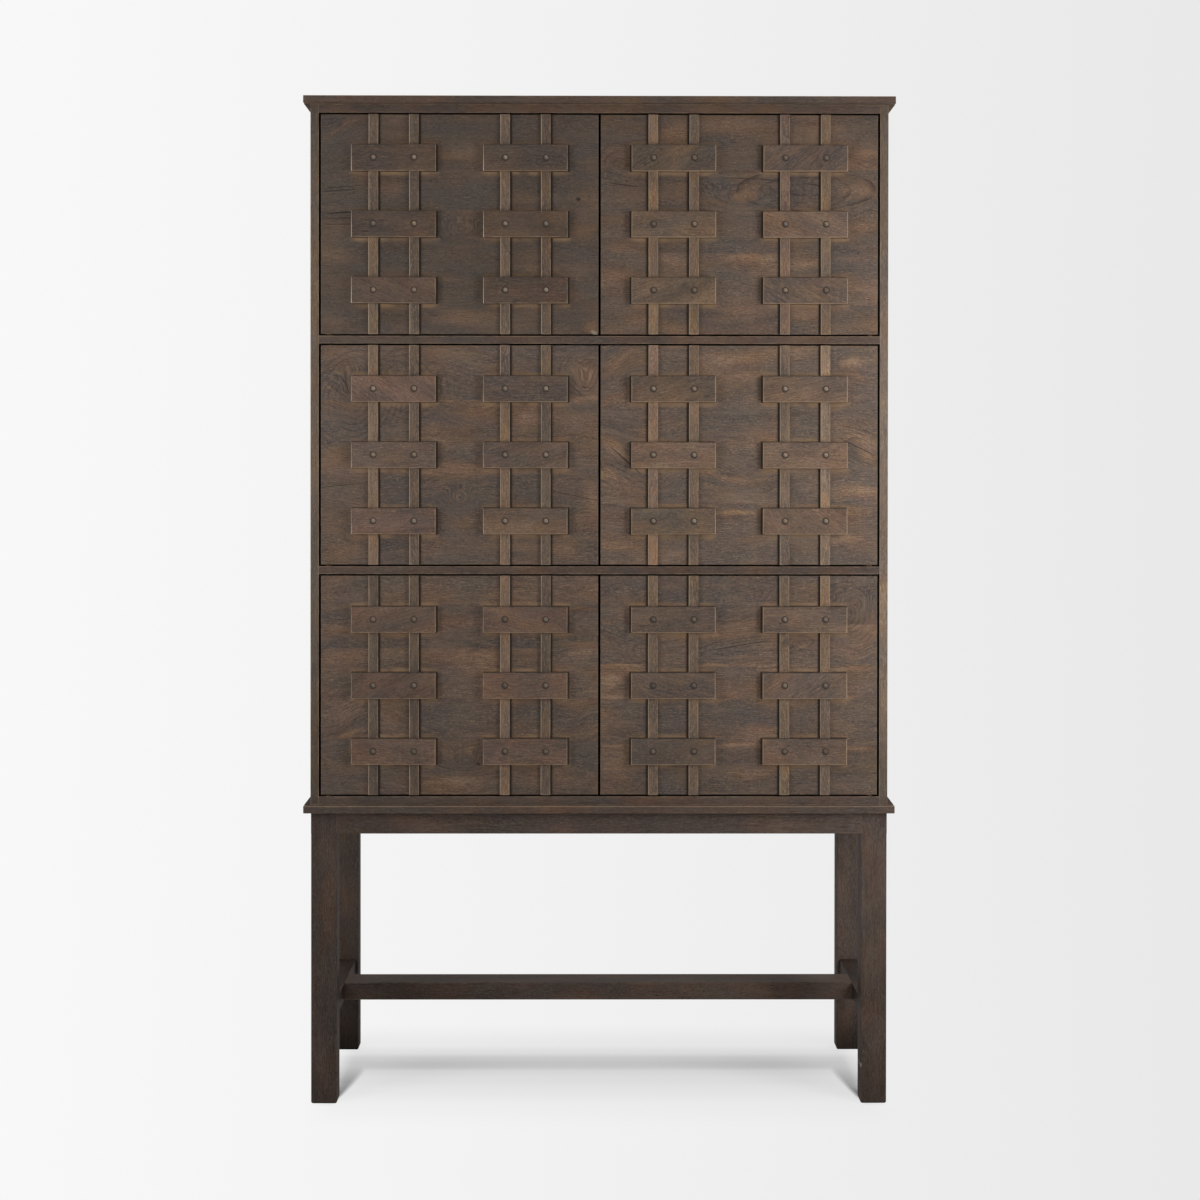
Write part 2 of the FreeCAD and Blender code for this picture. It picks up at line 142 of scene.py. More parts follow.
def new_tree(name, kind, inputs, outputs):
    """Starts a tree and gives it with its inputs. inputs and outputs are pairs of a name and a kind."""
    tree = bpy.data.node_groups.new(name, kind)
    for way, sockets in (("INPUT", inputs), ("OUTPUT", outputs)):
        for socket, form in sockets:
            tree.interface.new_socket(socket, in_out=way, socket_type=f"NodeSocket{form}")
    return tree, add(tree, "NodeGroupInput").outputs


def emptied(owner):
    """Turns on the nodes of a material or of the world, and clears them."""
    owner.use_nodes = True
    owner.node_tree.nodes.clear()
    return owner.node_tree


def placed(name, data):
    """Puts a mesh, a lamp or a camera in the scene."""
    made = bpy.data.objects.new(name, data)
    bpy.context.scene.collection.objects.link(made)
    return made


# Shared patterns


def tinted(tree, colour, mask, stain):
    """Lays another stain over a colour where the mask is."""
    stain = linear(stain) if isinstance(stain, str) else stain
    return add(tree, "ShaderNodeMix", {0: mask, 6: colour, 7: stain}, data_type="RGBA")


def read_at(tree, level, stops, change):
    """Reads a list of places from 0 to 1, each with a share or four values, at a level."""
    curve = add(tree, "ShaderNodeValToRGB", level)
    curve.color_ramp.interpolation = change
    elements = curve.color_ramp.elements
    elements.remove(elements[1])
    for i, (place, value) in enumerate(stops):
        stop = elements.new(place) if i else elements[0]
        stop.position = place
        stop.color = value if isinstance(value, tuple) else (value, value, value, 1)
    return curve


def grown(tree, place, long_mm, wide_mm, detail, roughness=0.5):
    """Uneven pattern whose features have one size along the grain and another across it."""
    place = add(
        tree, "ShaderNodeVectorMath", place, (1 / long_mm, 1 / wide_mm, 1 / wide_mm), operation="MULTIPLY"
    )
    return add(
        tree, "ShaderNodeTexNoise", {"Vector": place, "Scale": 1.0, "Detail": detail, "Roughness": roughness}
    )


def edge_group():
    """Distance in millimetres from a place on a box to the nearest of its edges."""
    inputs = (("Place", "Vector"), ("Half", "Vector"))
    tree, start = new_tree("Distance to edge", "ShaderNodeTree", inputs, (("Distance", "Float"),))
    away = add(tree, "ShaderNodeVectorMath", start["Place"], operation="ABSOLUTE")
    left = add(tree, "ShaderNodeVectorMath", start["Half"], away, operation="SUBTRACT")
    x, y, z = add(tree, "ShaderNodeSeparateXYZ", left).outputs
    low = add(tree, "ShaderNodeMath", x, y, operation="MINIMUM")
    high = add(tree, "ShaderNodeMath", x, y, operation="MAXIMUM")
    high = add(tree, "ShaderNodeMath", high, z, operation="MINIMUM")
    middle = add(tree, "ShaderNodeMath", low, high, operation="MAXIMUM")
    add(tree, "NodeGroupOutput", middle)
    return tree


def wood_group():
    """Stained and rubbed hardwood. Grain is a place in millimetres: along, across and through the board."""
    numbers = ("Figure", "Ring width", "Ring strength", "Tone", "Warmth", "Hue", "Bare")
    stains = ("Dark", "Middle", "Light", "Warm", "Cool")
    inputs = [("Grain", "Vector")]
    inputs += [(name, "Float") for name in numbers] + [(name, "Color") for name in stains]
    outputs = (("Colour", "Color"), ("Roughness", "Float"), ("Height", "Float"))
    tree, start = new_tree("Stained hardwood", "ShaderNodeTree", inputs, outputs)

    # Rings drift sideways over a hand's width, and bend round what Figure gives
    drift = grown(tree, start["Grain"], 240, 60, 1.0)
    drift = add(tree, "ShaderNodeMath", drift, 30.0, -15.0, operation="MULTIPLY_ADD")
    bend = add(tree, "ShaderNodeMath", drift, start["Figure"], operation="ADD")
    bend = add(tree, "ShaderNodeCombineXYZ", {1: bend})
    place = add(tree, "ShaderNodeVectorMath", start["Grain"], bend, operation="ADD")

    # Growth rings: a dark line that fades to one side, coming and going along the board
    across = add(tree, "ShaderNodeSeparateXYZ", place).outputs[1]
    across = add(tree, "ShaderNodeMath", across, start["Ring width"], operation="DIVIDE")
    ring = grown(tree, place, 170, 26, 2.0)
    ring = add(tree, "ShaderNodeMath", ring, 2.4, across, operation="MULTIPLY_ADD")
    ring = add(tree, "ShaderNodeMath", ring, operation="FRACT")
    line = read_at(tree, ring, ((0, 1), (0.14, 0), (0.93, 0), (1, 1)), "LINEAR")
    fade = add(tree, "ShaderNodeMapRange", grown(tree, start["Grain"], 95, 32, 1.0), 0.38, 0.66, 0.1, 1.0)
    line = add(tree, "ShaderNodeMath", line, fade, operation="MULTIPLY")
    line = add(tree, "ShaderNodeMath", line, start["Ring strength"], operation="MULTIPLY", use_clamp=True)

    # Fibres about 1 mm wide, drawn a little coarser than real ones so that they show, flecks where the
    # stain took unevenly, open pores, patches of warm and cool stain as wide as a hand, and streaks
    fibre = grown(tree, place, 16, 1.2, 3.0, 0.6)
    fleck = grown(tree, place, 5.0, 1.7, 2.0, 0.7)
    pore = grown(tree, place, 7, 0.9, 1.0)
    patch = grown(tree, place, 100, 46, 3.0, 0.42)
    streak = grown(tree, place, 120, 12, 3.0, 0.55)
    patch = add(tree, "ShaderNodeMath", patch, start["Warmth"], operation="ADD")
    warm = add(tree, "ShaderNodeMapRange", patch, 0.48, 0.68)
    cool = add(tree, "ShaderNodeMapRange", patch, 0.5, 0.3)
    gold = add(tree, "ShaderNodeMapRange", patch, 0.58, 1.0, 0.0, 0.85)
    tan = add(tree, "ShaderNodeMapRange", streak, 0.52, 0.76, 0.0, 0.35)
    gloom = add(tree, "ShaderNodeMapRange", streak, 0.47, 0.28, 0.0, 0.2)
    pit = add(tree, "ShaderNodeMapRange", pore, 0.6, 0.72)
    # Gold shows mostly as light fibres, and a little as an even glow between them
    glow = add(tree, "ShaderNodeMath", gold, 0.42, operation="MULTIPLY")
    tan = add(tree, "ShaderNodeMath", tan, glow, operation="MAXIMUM")
    uneven = add(tree, "ShaderNodeMath", fibre, fleck, operation="ADD")
    light = add(tree, "ShaderNodeMath", gold, 0.34, uneven, operation="MULTIPLY_ADD")
    light = add(tree, "ShaderNodeMapRange", light, 0.99, 1.36, 0.0, 0.8)
    light = add(tree, "ShaderNodeMath", light, tan, operation="MAXIMUM")
    light = add(tree, "ShaderNodeMath", light, start["Bare"], operation="MAXIMUM")
    dark = add(tree, "ShaderNodeMapRange", uneven, 0.98, 0.6, 0.0, 0.62)
    shadow = add(tree, "ShaderNodeMath", gloom, line, operation="MAXIMUM")
    shadow = add(tree, "ShaderNodeMath", shadow, dark, operation="ADD")
    shadow = add(tree, "ShaderNodeMath", pit, 0.45, shadow, operation="MULTIPLY_ADD", use_clamp=True)
    colour = start["Middle"]
    for mask, stain in ((warm, "Warm"), (cool, "Cool"), (light, "Light"), (shadow, "Dark")):
        colour = tinted(tree, colour, mask, start[stain])

    # The stain leans to red in one hand's width and to olive in the next
    wide = add(tree, "ShaderNodeSeparateColor", grown(tree, place, 70, 35, 2.0).outputs["Color"]).outputs
    hue = add(tree, "ShaderNodeMapRange", wide[0], 0.36, 0.64, -0.004, 0.004)
    hue = add(tree, "ShaderNodeMath", hue, start["Hue"], operation="ADD")
    depth = add(tree, "ShaderNodeMapRange", wide[1], 0.36, 0.64, 0.95, 1.12)
    colour = add(
        tree, "ShaderNodeHueSaturation",
        {"Color": colour, "Hue": hue, "Saturation": depth, "Value": start["Tone"]},
    )
    rough = add(tree, "ShaderNodeMapRange", fibre, 0.3, 0.7, 0.62, 0.5)
    height = add(tree, "ShaderNodeMath", pit, -0.7, fibre, operation="MULTIPLY_ADD")
    add(tree, "NodeGroupOutput", colour, rough, height)
    return tree


def in_oval(tree, place, centre, half, angle):
    """Place in an oval of the XZ plane, whose rim is 1 from its middle."""
    return add(
        tree, "ShaderNodeMapping",
        {
            "Vector": place,
            "Location": (centre[0], 0.0, centre[1]),
            "Rotation": (0.0, math.radians(angle), 0.0),
            "Scale": (half[0], 1e6, half[1]),
        },
        vector_type="TEXTURE",
    )


def oval_mask(tree, place, centre, half, angle=0.0, sharp=False):
    """1 at the middle of an oval in the XZ plane and 0 outside it, from a place in millimetres."""
    ball = add(
        tree, "ShaderNodeTexGradient", in_oval(tree, place, centre, half, angle), gradient_type="SPHERICAL"
    ).outputs["Fac"]
    reach = 0.3 if sharp else 1.0
    return add(tree, "ShaderNodeMapRange", ball, 0.0, reach, interpolation_type="SMOOTHSTEP")


def bent(tree, place, across_mm, up_mm):
    """Pushes places about by some millimetres, so that what is drawn there gets an uneven outline."""
    push = add(tree, "ShaderNodeTexNoise", {"Vector": place, "Scale": 0.022, "Detail": 3.0}).outputs["Color"]
    back = add(tree, "ShaderNodeVectorMath", place, (-across_mm, 0.0, -up_mm))
    return add(
        tree, "ShaderNodeVectorMath", push, (2 * across_mm, 0.0, 2 * up_mm), back, operation="MULTIPLY_ADD"
    )


def picked(tree, number, choices):
    """Gives the tone, warmth, turn and hue that belong to a number from 0 up, as four outputs."""
    level = add(tree, "ShaderNodeMath", number, 0.5, operation="ADD")
    level = add(tree, "ShaderNodeMath", level, float(len(choices)), operation="DIVIDE")
    stops = [(i / len(choices), choice) for i, choice in enumerate(choices)]
    steps = read_at(tree, level, stops, "CONSTANT")
    return [*add(tree, "ShaderNodeSeparateColor", steps).outputs, steps.outputs["Alpha"]]


def nested_lines(tree, colour, place, centre, half, angle, count, share):
    """Thin dark lines that lie in one another like the rings of a knot, each sharp on its outer side."""
    out = add(tree, "ShaderNodeVectorMath", in_oval(tree, place, centre, half, angle), operation="LENGTH")
    ring = add(tree, "ShaderNodeMath", out, float(count), operation="MULTIPLY")
    ring = add(tree, "ShaderNodeMath", ring, operation="FRACT")
    line = add(tree, "ShaderNodeMapRange", ring, 0.62, 0.97)
    inside = add(tree, "ShaderNodeMapRange", out, 1.04, 0.99, 0.0, share)
    line = add(tree, "ShaderNodeMath", line, inside, operation="MULTIPLY")
    faint = add(tree, "ShaderNodeTexNoise", {"Vector": place, "Scale": 0.03, "Detail": 2.0})
    faint = add(tree, "ShaderNodeMapRange", faint, 0.38, 0.6)
    line = add(tree, "ShaderNodeMath", line, faint, operation="MULTIPLY")
    return tinted(tree, colour, line, DARK_VEIN)


def in_millimetres(tree, source, middle):
    """A place in millimetres from the middle of a piece."""
    thousand = (1000, 1000, 1000)
    away = tuple(-c for c in middle)
    return add(tree, "ShaderNodeVectorMath", source, thousand, away, operation="MULTIPLY_ADD")


def surface(tree, colour, rough, height, strength, depth, **more):
    """Ends a material with its shader, over a fine relief of some depth in metres."""
    relief = add(tree, "ShaderNodeBump", {"Height": height, "Strength": strength, "Distance": depth})
    looks = {"Base Color": colour, "Roughness": rough, "Normal": relief, **more}
    add(tree, "ShaderNodeOutputMaterial", add(tree, "ShaderNodeBsdfPrincipled", looks))


def stained_wood(
    name, tones, axes, half, centre=(0, 0, 0), seed=0.0, carried=None, ring=7.0, ring_strength=0.45,
    wear=0.5, lit_end=0, end_wear_and_highlight=1.0, tone=1.0, fade=None, light_lean=0.0, sheen=0.22, knots=(), slants=(),
    boards=(), stains=(), marks=(), veins=(), own=None, wiped=None, finish=None, inside=None,
):
    """Hardwood, planed, stained grey-brown and rubbed with a dull wax.

    It gives a dark ground with fine streaks, dull sheen, open pores, and stain rubbed off along edges.
    carried is the name of the vector attribute that holds a piece's own place, for pieces that repeat,
    and own gives each of them its tone, warmth, turn and hue. seed moves the grain. lit_end is the end of
    a piece, -1 left or 1 right, that faces the near lamp, whose edges get a painted highlight over their
    wear, and end_wear_and_highlight is how strong. fade gives shares of the tone at heights from -1 to 1 of
    half the height, as painted light and shade where the lamps light a piece unevenly, and lean is the share
    by which the right side is painted lighter than the left, as the right lamp is the stronger. knots bend
    the rings round them, and slants tilt the grain. boards are those the piece is glued up from. stains are
    ovals of warmer or cooler stain, and veins are dark rings that lie in one another. wiped gives where
    stain was wiped thin, and finish lays more on top. inside gives the faces that differ: the axis, its
    sides as -1 and 1, how much the other colour shows, and it, which puts painted shade on faces in
    shadow and painted light on one top face.
    """
    material = bpy.data.materials.new(name)
    tree = emptied(material)
    if carried:
        source = add(tree, "ShaderNodeAttribute", attribute_name=carried).outputs["Vector"]
    else:
        source = add(tree, "ShaderNodeTexCoord").outputs["Object"]
    place = in_millimetres(tree, source, centre)
    x_y_z = add(tree, "ShaderNodeSeparateXYZ", place).outputs
    grain = add(tree, "ShaderNodeCombineXYZ", *(x_y_z[axis] for axis in axes))
    # A hue of 0.5 changes nothing, a lower one leans to red, and a higher one to olive
    value, warmth, hue = tone, 0.0, 0.5
    if own:
        choice = picked(tree, own[0](tree), own[1])
        value = add(tree, "ShaderNodeMath", choice[0], 2.0 * tone, operation="MULTIPLY")
        warmth = add(tree, "ShaderNodeMath", choice[1], 0.8, -0.4, operation="MULTIPLY_ADD")
        turn = add(tree, "ShaderNodeMath", choice[2], 3.0, -1.5, operation="MULTIPLY_ADD")
        hue = add(tree, "ShaderNodeMath", choice[3], 0.05, 0.475, operation="MULTIPLY_ADD")
        grain = add(tree, "ShaderNodeVectorRotate", {"Vector": grain, "Angle": turn}, rotation_type="Z_AXIS")
    moved = (seed * 137.0, seed * 61.0, seed * 23.0)
    grain = add(tree, "ShaderNodeVectorMath", grain, moved, operation="ADD")
    if carried:
        stretch = add(tree, "ShaderNodeAttribute", attribute_name="own_grain").outputs["Vector"]
        grain = add(tree, "ShaderNodeVectorMath", stretch, (900, 900, 900), grain, operation="MULTIPLY_ADD")
        own_tone = add(tree, "ShaderNodeAttribute", attribute_name="own_tone").outputs["Fac"]
        value = add(tree, "ShaderNodeMath", own_tone, 1.0, value, operation="MULTIPLY_ADD")
    if boards or fade:
        height = add(tree, "ShaderNodeMapRange", x_y_z[2], -half[2], half[2])
    if boards:
        stops = [(foot, (i / len(boards), *looks, 1)) for i, (foot, *looks) in enumerate(boards)]
        board = add(tree, "ShaderNodeSeparateColor", read_at(tree, height, stops, "CONSTANT")).outputs
        apart = add(tree, "ShaderNodeCombineXYZ", board[0], board[0])
        grain = add(tree, "ShaderNodeVectorMath", apart, (2700, 1300, 0), grain, operation="MULTIPLY_ADD")
        value = add(tree, "ShaderNodeMath", board[1], 2.0 * tone, operation="MULTIPLY")
        warmth = add(tree, "ShaderNodeMath", board[2], 0.8, -0.4, operation="MULTIPLY_ADD")
    # Painted light and shade: the tone changes with height where the lamps light a piece unevenly
    if fade:
        value = read_at(tree, height, [(0.5 + 0.5 * z, tone * share) for z, share in fade], "EASE")
    # Painted light: the right side is drawn lighter than the left, as the right lamp is the stronger
    if light_lean:
        slope = add(tree, "ShaderNodeMapRange", x_y_z[0], -half[0], half[0], 1.0 - light_lean, 1.0 + light_lean)
        value = add(tree, "ShaderNodeMath", slope, value, operation="MULTIPLY")

    # Rings rise round each knot, run up or down in each slant, and show most there
    figure, strength = 0.0, ring_strength
    for x, z, half_x, half_z, rise in knots:
        mask = oval_mask(tree, place, (x, z), (half_x, half_z))
        figure = add(tree, "ShaderNodeMath", mask, rise, figure, operation="MULTIPLY_ADD")
        strength = add(tree, "ShaderNodeMath", mask, 0.45, strength, operation="MULTIPLY_ADD")
    for x, z, half_x, half_z, slope in slants:
        mask = oval_mask(tree, place, (x, z), (1.5 * half_x, 1.5 * half_z))
        run = add(tree, "ShaderNodeMath", x_y_z[0], -slope, slope * x, operation="MULTIPLY_ADD")
        figure = add(tree, "ShaderNodeMath", mask, run, figure, operation="MULTIPLY_ADD")
        strength = add(tree, "ShaderNodeMath", mask, 0.35, strength, operation="MULTIPLY_ADD")
    if stains:
        uneven = bent(tree, place, 16.0, 7.0)
    for (x, z, half_x, half_z, angle), warmer in stains:
        mask = oval_mask(tree, uneven, (x, z), (1.5 * half_x, 1.5 * half_z), angle)
        warmth = add(tree, "ShaderNodeMath", mask, 1.7 * warmer, warmth, operation="MULTIPLY_ADD")
    bare = 0.0
    if wiped:
        bare = wiped(tree, place, x_y_z)
        warmth = add(tree, "ShaderNodeMath", bare, 0.3, warmth, operation="MULTIPLY_ADD")
        bare = add(tree, "ShaderNodeMath", bare, 0.85, operation="MULTIPLY")
    wood = add(
        tree, "ShaderNodeGroup", grain, figure, ring, strength, value, warmth, hue, bare,
        *(linear(stain) for stain in tones), node_tree=WOOD,
    )
    colour = wood
    if veins:
        uneven = bent(tree, place, 7.0, 4.0)
    for vein in veins:
        colour = nested_lines(tree, colour, uneven, *vein)
    if finish:
        colour = finish(tree, place, x_y_z, colour)

    # Stain rubbed off within about 2 mm of the edges, more in some places than in others
    edge = add(tree, "ShaderNodeGroup", place, half, node_tree=EDGE)
    rub = add(tree, "ShaderNodeTexNoise", {"Vector": grain, "Scale": 0.06, "Detail": 2.0})
    reach = add(tree, "ShaderNodeMapRange", rub, 0.35, 0.7, 0.5, 2.6)
    wear_and_highlight = add(tree, "ShaderNodeMapRange", edge, reach, 0.0, 0.0, wear)
    if carried:
        # Upper edges stay dark as painted shade, and the light edges below are partly a painted highlight
        kept = add(tree, "ShaderNodeMapRange", x_y_z[2], half[2] - 4.0, half[2] - 1.0, 1.0, 0.2)
        wear_and_highlight = add(tree, "ShaderNodeMath", wear_and_highlight, kept, operation="MULTIPLY")
    colour = tinted(tree, colour, wear_and_highlight, WORN_EDGE)
    # Painted highlight over the wear on the edges of the end that faces the near lamp, strongest low down
    if lit_end:
        end = add(
            tree, "ShaderNodeMapRange", x_y_z[0], lit_end * (half[0] - 1.3), lit_end * (half[0] - 0.6)
        )
        low = add(tree, "ShaderNodeMapRange", x_y_z[2], half[2], -half[2], 0.25 * end_wear_and_highlight, end_wear_and_highlight)
        end = add(tree, "ShaderNodeMath", end, low, operation="MULTIPLY")
        colour = tinted(tree, colour, end, LEFT_END_WEAR_AND_HIGHLIGHT if lit_end < 0 else RIGHT_END_WEAR_AND_HIGHLIGHT)
    for (x, z, half_x, half_z, angle), stain in marks:
        mask = oval_mask(tree, place, (x, z), (half_x, half_z), angle, sharp=True)
        colour = tinted(tree, colour, mask, stain)
    # Painted shade on faces that lie in shadow, and painted light on the long stretcher's top face
    if inside:
        axis, sides, share, stain = inside
        for side in sides:
            skin = 0.15 - half[axis]
            out = add(tree, "ShaderNodeMath", x_y_z[axis], float(side), skin, operation="MULTIPLY_ADD")
            out = add(tree, "ShaderNodeMath", out, 0.0, operation="GREATER_THAN")
            dim = add(tree, "ShaderNodeMath", out, share, operation="MULTIPLY")
            colour = tinted(tree, colour, dim, stain)
    rough, height = wood.outputs["Roughness"], wood.outputs["Height"]
    surface(tree, colour, rough, height, 0.35, 0.0004, **{"Specular IOR Level": sheen})
    return material


def metal(name, hex_colour, dull_hex, roughness, pitch_mm):
    """Bare metal with turning marks and tarnish: a bright ground with duller spots."""
    material = bpy.data.materials.new(name)
    tree = emptied(material)
    source = add(tree, "ShaderNodeTexCoord").outputs["Object"]
    fine = add(tree, "ShaderNodeTexNoise", {"Vector": source, "Scale": 1000 / pitch_mm, "Detail": 2.0})
    spots = add(tree, "ShaderNodeTexNoise", {"Vector": source, "Scale": 220.0, "Detail": 3.0})
    spots = add(tree, "ShaderNodeMapRange", spots, 0.45, 0.65)
    rough = add(tree, "ShaderNodeMapRange", spots, 0.0, 1.0, roughness, roughness + 0.2)
    colour = tinted(tree, linear(hex_colour), spots, dull_hex)
    surface(tree, colour, rough, fine, 0.2, 0.0001, Metallic=1.0)
    return material


def moulded_plastic(name, hex_colour, worn_hex):
    """Moulded ABS: an even ground with a fine spark-eroded grain and paler scuffs."""
    material = bpy.data.materials.new(name)
    tree = emptied(material)
    source = add(tree, "ShaderNodeTexCoord").outputs["Object"]
    grain = add(tree, "ShaderNodeTexNoise", {"Vector": source, "Scale": 1600.0, "Detail": 2.0})
    scuff = add(tree, "ShaderNodeTexNoise", {"Vector": source, "Scale": 140.0, "Detail": 3.0})
    scuff = add(tree, "ShaderNodeMapRange", scuff, 0.5, 0.75)
    rough = add(tree, "ShaderNodeMapRange", grain, 0.0, 1.0, 0.4, 0.6)
    colour = tinted(tree, linear(hex_colour), scuff, worn_hex)
    surface(tree, colour, rough, grain, 0.25, 0.0001)
    return material


# Shapes that repeat

GEOMETRY_OUT = (("Geometry", "Geometry"),)
EASED_INPUTS = (("Size", "Vector"), ("Ease", "Float"))
REPEAT_INPUTS = (
    ("Middle", "Vector"), ("Column step", "Float"), ("Row step", "Float"), ("Apart", "Float"),
    ("Seed", "Int"), ("Material", "Material"),
)


def eased_block_tree():
    """A box round the origin with its edges rounded, whose own place is kept as own_place."""
    tree, start = new_tree("Eased block", "GeometryNodeTree", EASED_INPUTS, GEOMETRY_OUT)
    cube = add(
        tree, "GeometryNodeMeshCube", {"Size": (2, 2, 2), "Vertices X": 6, "Vertices Y": 6, "Vertices Z": 6}
    )
    place = add(tree, "GeometryNodeInputPosition")
    half = add(tree, "ShaderNodeVectorMath", start["Size"], {"Scale": 0.5}, operation="SCALE")
    ease = add(tree, "ShaderNodeCombineXYZ", *[start["Ease"]] * 3)
    flat = add(tree, "ShaderNodeVectorMath", half, ease, operation="SUBTRACT")
    size = add(tree, "ShaderNodeVectorMath", place, operation="ABSOLUTE")
    side = add(tree, "ShaderNodeVectorMath", place, operation="SIGN")
    # Rows of points stand at the face, half way round the ease, and where the ease ends
    back = add(tree, "ShaderNodeVectorMath", (1, 1, 1), size, operation="SUBTRACT")
    back = add(tree, "ShaderNodeVectorMath", back, ease, operation="MULTIPLY")
    back = add(tree, "ShaderNodeVectorMath", back, {"Scale": 1.25}, operation="SCALE")
    out = add(tree, "ShaderNodeVectorMath", half, back, operation="SUBTRACT")
    inner = add(tree, "ShaderNodeVectorMath", out, flat, operation="MINIMUM")
    past = add(tree, "ShaderNodeVectorMath", out, inner, operation="SUBTRACT")
    past = add(tree, "ShaderNodeVectorMath", past, operation="NORMALIZE")
    past = add(tree, "ShaderNodeVectorMath", past, ease, inner, operation="MULTIPLY_ADD")
    rounded = add(tree, "ShaderNodeVectorMath", past, side, operation="MULTIPLY")
    shaped = add(tree, "GeometryNodeSetPosition", {"Geometry": cube, "Position": rounded})
    kept = add(
        tree, "GeometryNodeStoreNamedAttribute", {"Geometry": shaped, "Name": "own_place", "Value": place},
        data_type="FLOAT_VECTOR", domain="POINT",
    )
    add(tree, "NodeGroupOutput", kept)
    return tree


def spread_out(tree, points, shape, start, tone_spread):
    """Puts a shape on points, gives each its own tone and grain, and makes one mesh of all."""
    seed = {"Seed": start["Seed"]}
    off_plumb = 0.0022
    tilt = add(
        tree, "FunctionNodeRandomValue", (0, -off_plumb, 0), (0, off_plumb, 0), seed, data_type="FLOAT_VECTOR"
    )
    shapes = {"Points": points, "Instance": shape, "Rotation": tilt}
    spread = add(tree, "GeometryNodeInstanceOnPoints", shapes)
    tone = add(tree, "FunctionNodeRandomValue", {2: -tone_spread, 3: tone_spread, **seed}, data_type="FLOAT")
    grain = add(tree, "FunctionNodeRandomValue", seed, data_type="FLOAT_VECTOR")
    for name, value, form in (("own_tone", tone, "FLOAT"), ("own_grain", grain, "FLOAT_VECTOR")):
        spread = add(
            tree, "GeometryNodeStoreNamedAttribute", {"Geometry": spread, "Name": name, "Value": value},
            data_type=form, domain="INSTANCE",
        )
    one = add(tree, "GeometryNodeRealizeInstances", spread)
    dressed = add(tree, "GeometryNodeSetMaterial", {"Geometry": one, "Material": start["Material"]})
    add(tree, "NodeGroupOutput", dressed)
    return tree


def grid_points(tree, start, rows):
    """Two columns and some rows of points, upright round Middle."""
    tall = add(tree, "ShaderNodeMath", start["Row step"], rows - 1.0, operation="MULTIPLY")
    grid = add(tree, "GeometryNodeMeshGrid", start["Column step"], tall, 2, rows)
    upright = (math.pi / 2, 0, 0)
    return add(
        tree, "GeometryNodeTransform",
        {"Geometry": grid, "Translation": start["Middle"], "Rotation": upright},
    )


def doubled(tree, points, apart):
    """Two points, one each side of every point, to left and right."""
    offset = add(tree, "ShaderNodeCombineXYZ", apart)
    start = add(tree, "ShaderNodeVectorMath", offset, {"Scale": -0.5}, operation="SCALE")
    pair = add(
        tree, "GeometryNodeMeshLine", {"Count": 2, "Start Location": start, "Offset": offset}, mode="OFFSET"
    )
    both = add(tree, "GeometryNodeInstanceOnPoints", {"Points": points, "Instance": pair})
    return add(tree, "GeometryNodeRealizeInstances", both)


def cross_block_tree(eased):
    """The six cross blocks of a door."""
    tree, start = new_tree(
        "Cross blocks", "GeometryNodeTree", (*EASED_INPUTS, *REPEAT_INPUTS), GEOMETRY_OUT
    )
    shape = add(tree, "GeometryNodeGroup", start["Size"], start["Ease"], node_tree=eased)
    return spread_out(tree, grid_points(tree, start, BLOCKS_UP), shape, start, 0.03)


def strap_tree(eased):
    """The four upright straps of a door."""
    tree, start = new_tree("Straps", "GeometryNodeTree", (*EASED_INPUTS, *REPEAT_INPUTS), GEOMETRY_OUT)
    line = add(tree, "GeometryNodeMeshGrid", start["Column step"], 0.0, 2, 2)
    line = add(tree, "GeometryNodeMergeByDistance", line)
    line = add(tree, "GeometryNodeTransform", {"Geometry": line, "Translation": start["Middle"]})
    shape = add(tree, "GeometryNodeGroup", start["Size"], start["Ease"], node_tree=eased)
    return spread_out(tree, doubled(tree, line, start["Apart"]), shape, start, 0.02)


def peg_tree():
    """The twelve pegs of a door, each a rod with a low crown that faces forwards."""
    sizes = [(name, "Float") for name in ("Radius", "Bare radius", "Length", "Crown")]
    tree, start = new_tree("Pegs", "GeometryNodeTree", (*sizes, *REPEAT_INPUTS), GEOMETRY_OUT)
    rod = add(
        tree, "GeometryNodeMeshCylinder",
        {
            "Vertices": 20, "Side Segments": 1, "Fill Segments": 3,
            "Radius": start["Radius"], "Depth": start["Length"],
        },
        fill_type="TRIANGLE_FAN",
    )
    place = add(tree, "GeometryNodeInputPosition")
    x, y, z = add(tree, "ShaderNodeSeparateXYZ", place).outputs
    out = add(tree, "ShaderNodeVectorMath", add(tree, "ShaderNodeCombineXYZ", x, y), operation="LENGTH")
    out = add(tree, "ShaderNodeMath", out, start["Bare radius"], operation="DIVIDE")
    drop = add(tree, "ShaderNodeMath", out, out, operation="MULTIPLY")
    drop = add(tree, "ShaderNodeMath", drop, start["Crown"], operation="MULTIPLY")
    drop = add(tree, "ShaderNodeCombineXYZ", {2: drop})
    drop = add(tree, "ShaderNodeVectorMath", drop, {"Scale": -1.0}, operation="SCALE")
    front = add(tree, "ShaderNodeMath", z, 0.0, operation="GREATER_THAN")
    crowned = add(tree, "GeometryNodeSetPosition", {"Geometry": rod, "Selection": front, "Offset": drop})
    kept = add(
        tree, "GeometryNodeStoreNamedAttribute", {"Geometry": crowned, "Name": "own_place", "Value": place},
        data_type="FLOAT_VECTOR", domain="POINT",
    )
    forwards = (math.pi / 2, 0, 0)
    turned = add(tree, "GeometryNodeTransform", {"Geometry": kept, "Rotation": forwards})
    points = doubled(tree, grid_points(tree, start, BLOCKS_UP), start["Apart"])
    return spread_out(tree, points, turned, start, 0.3)


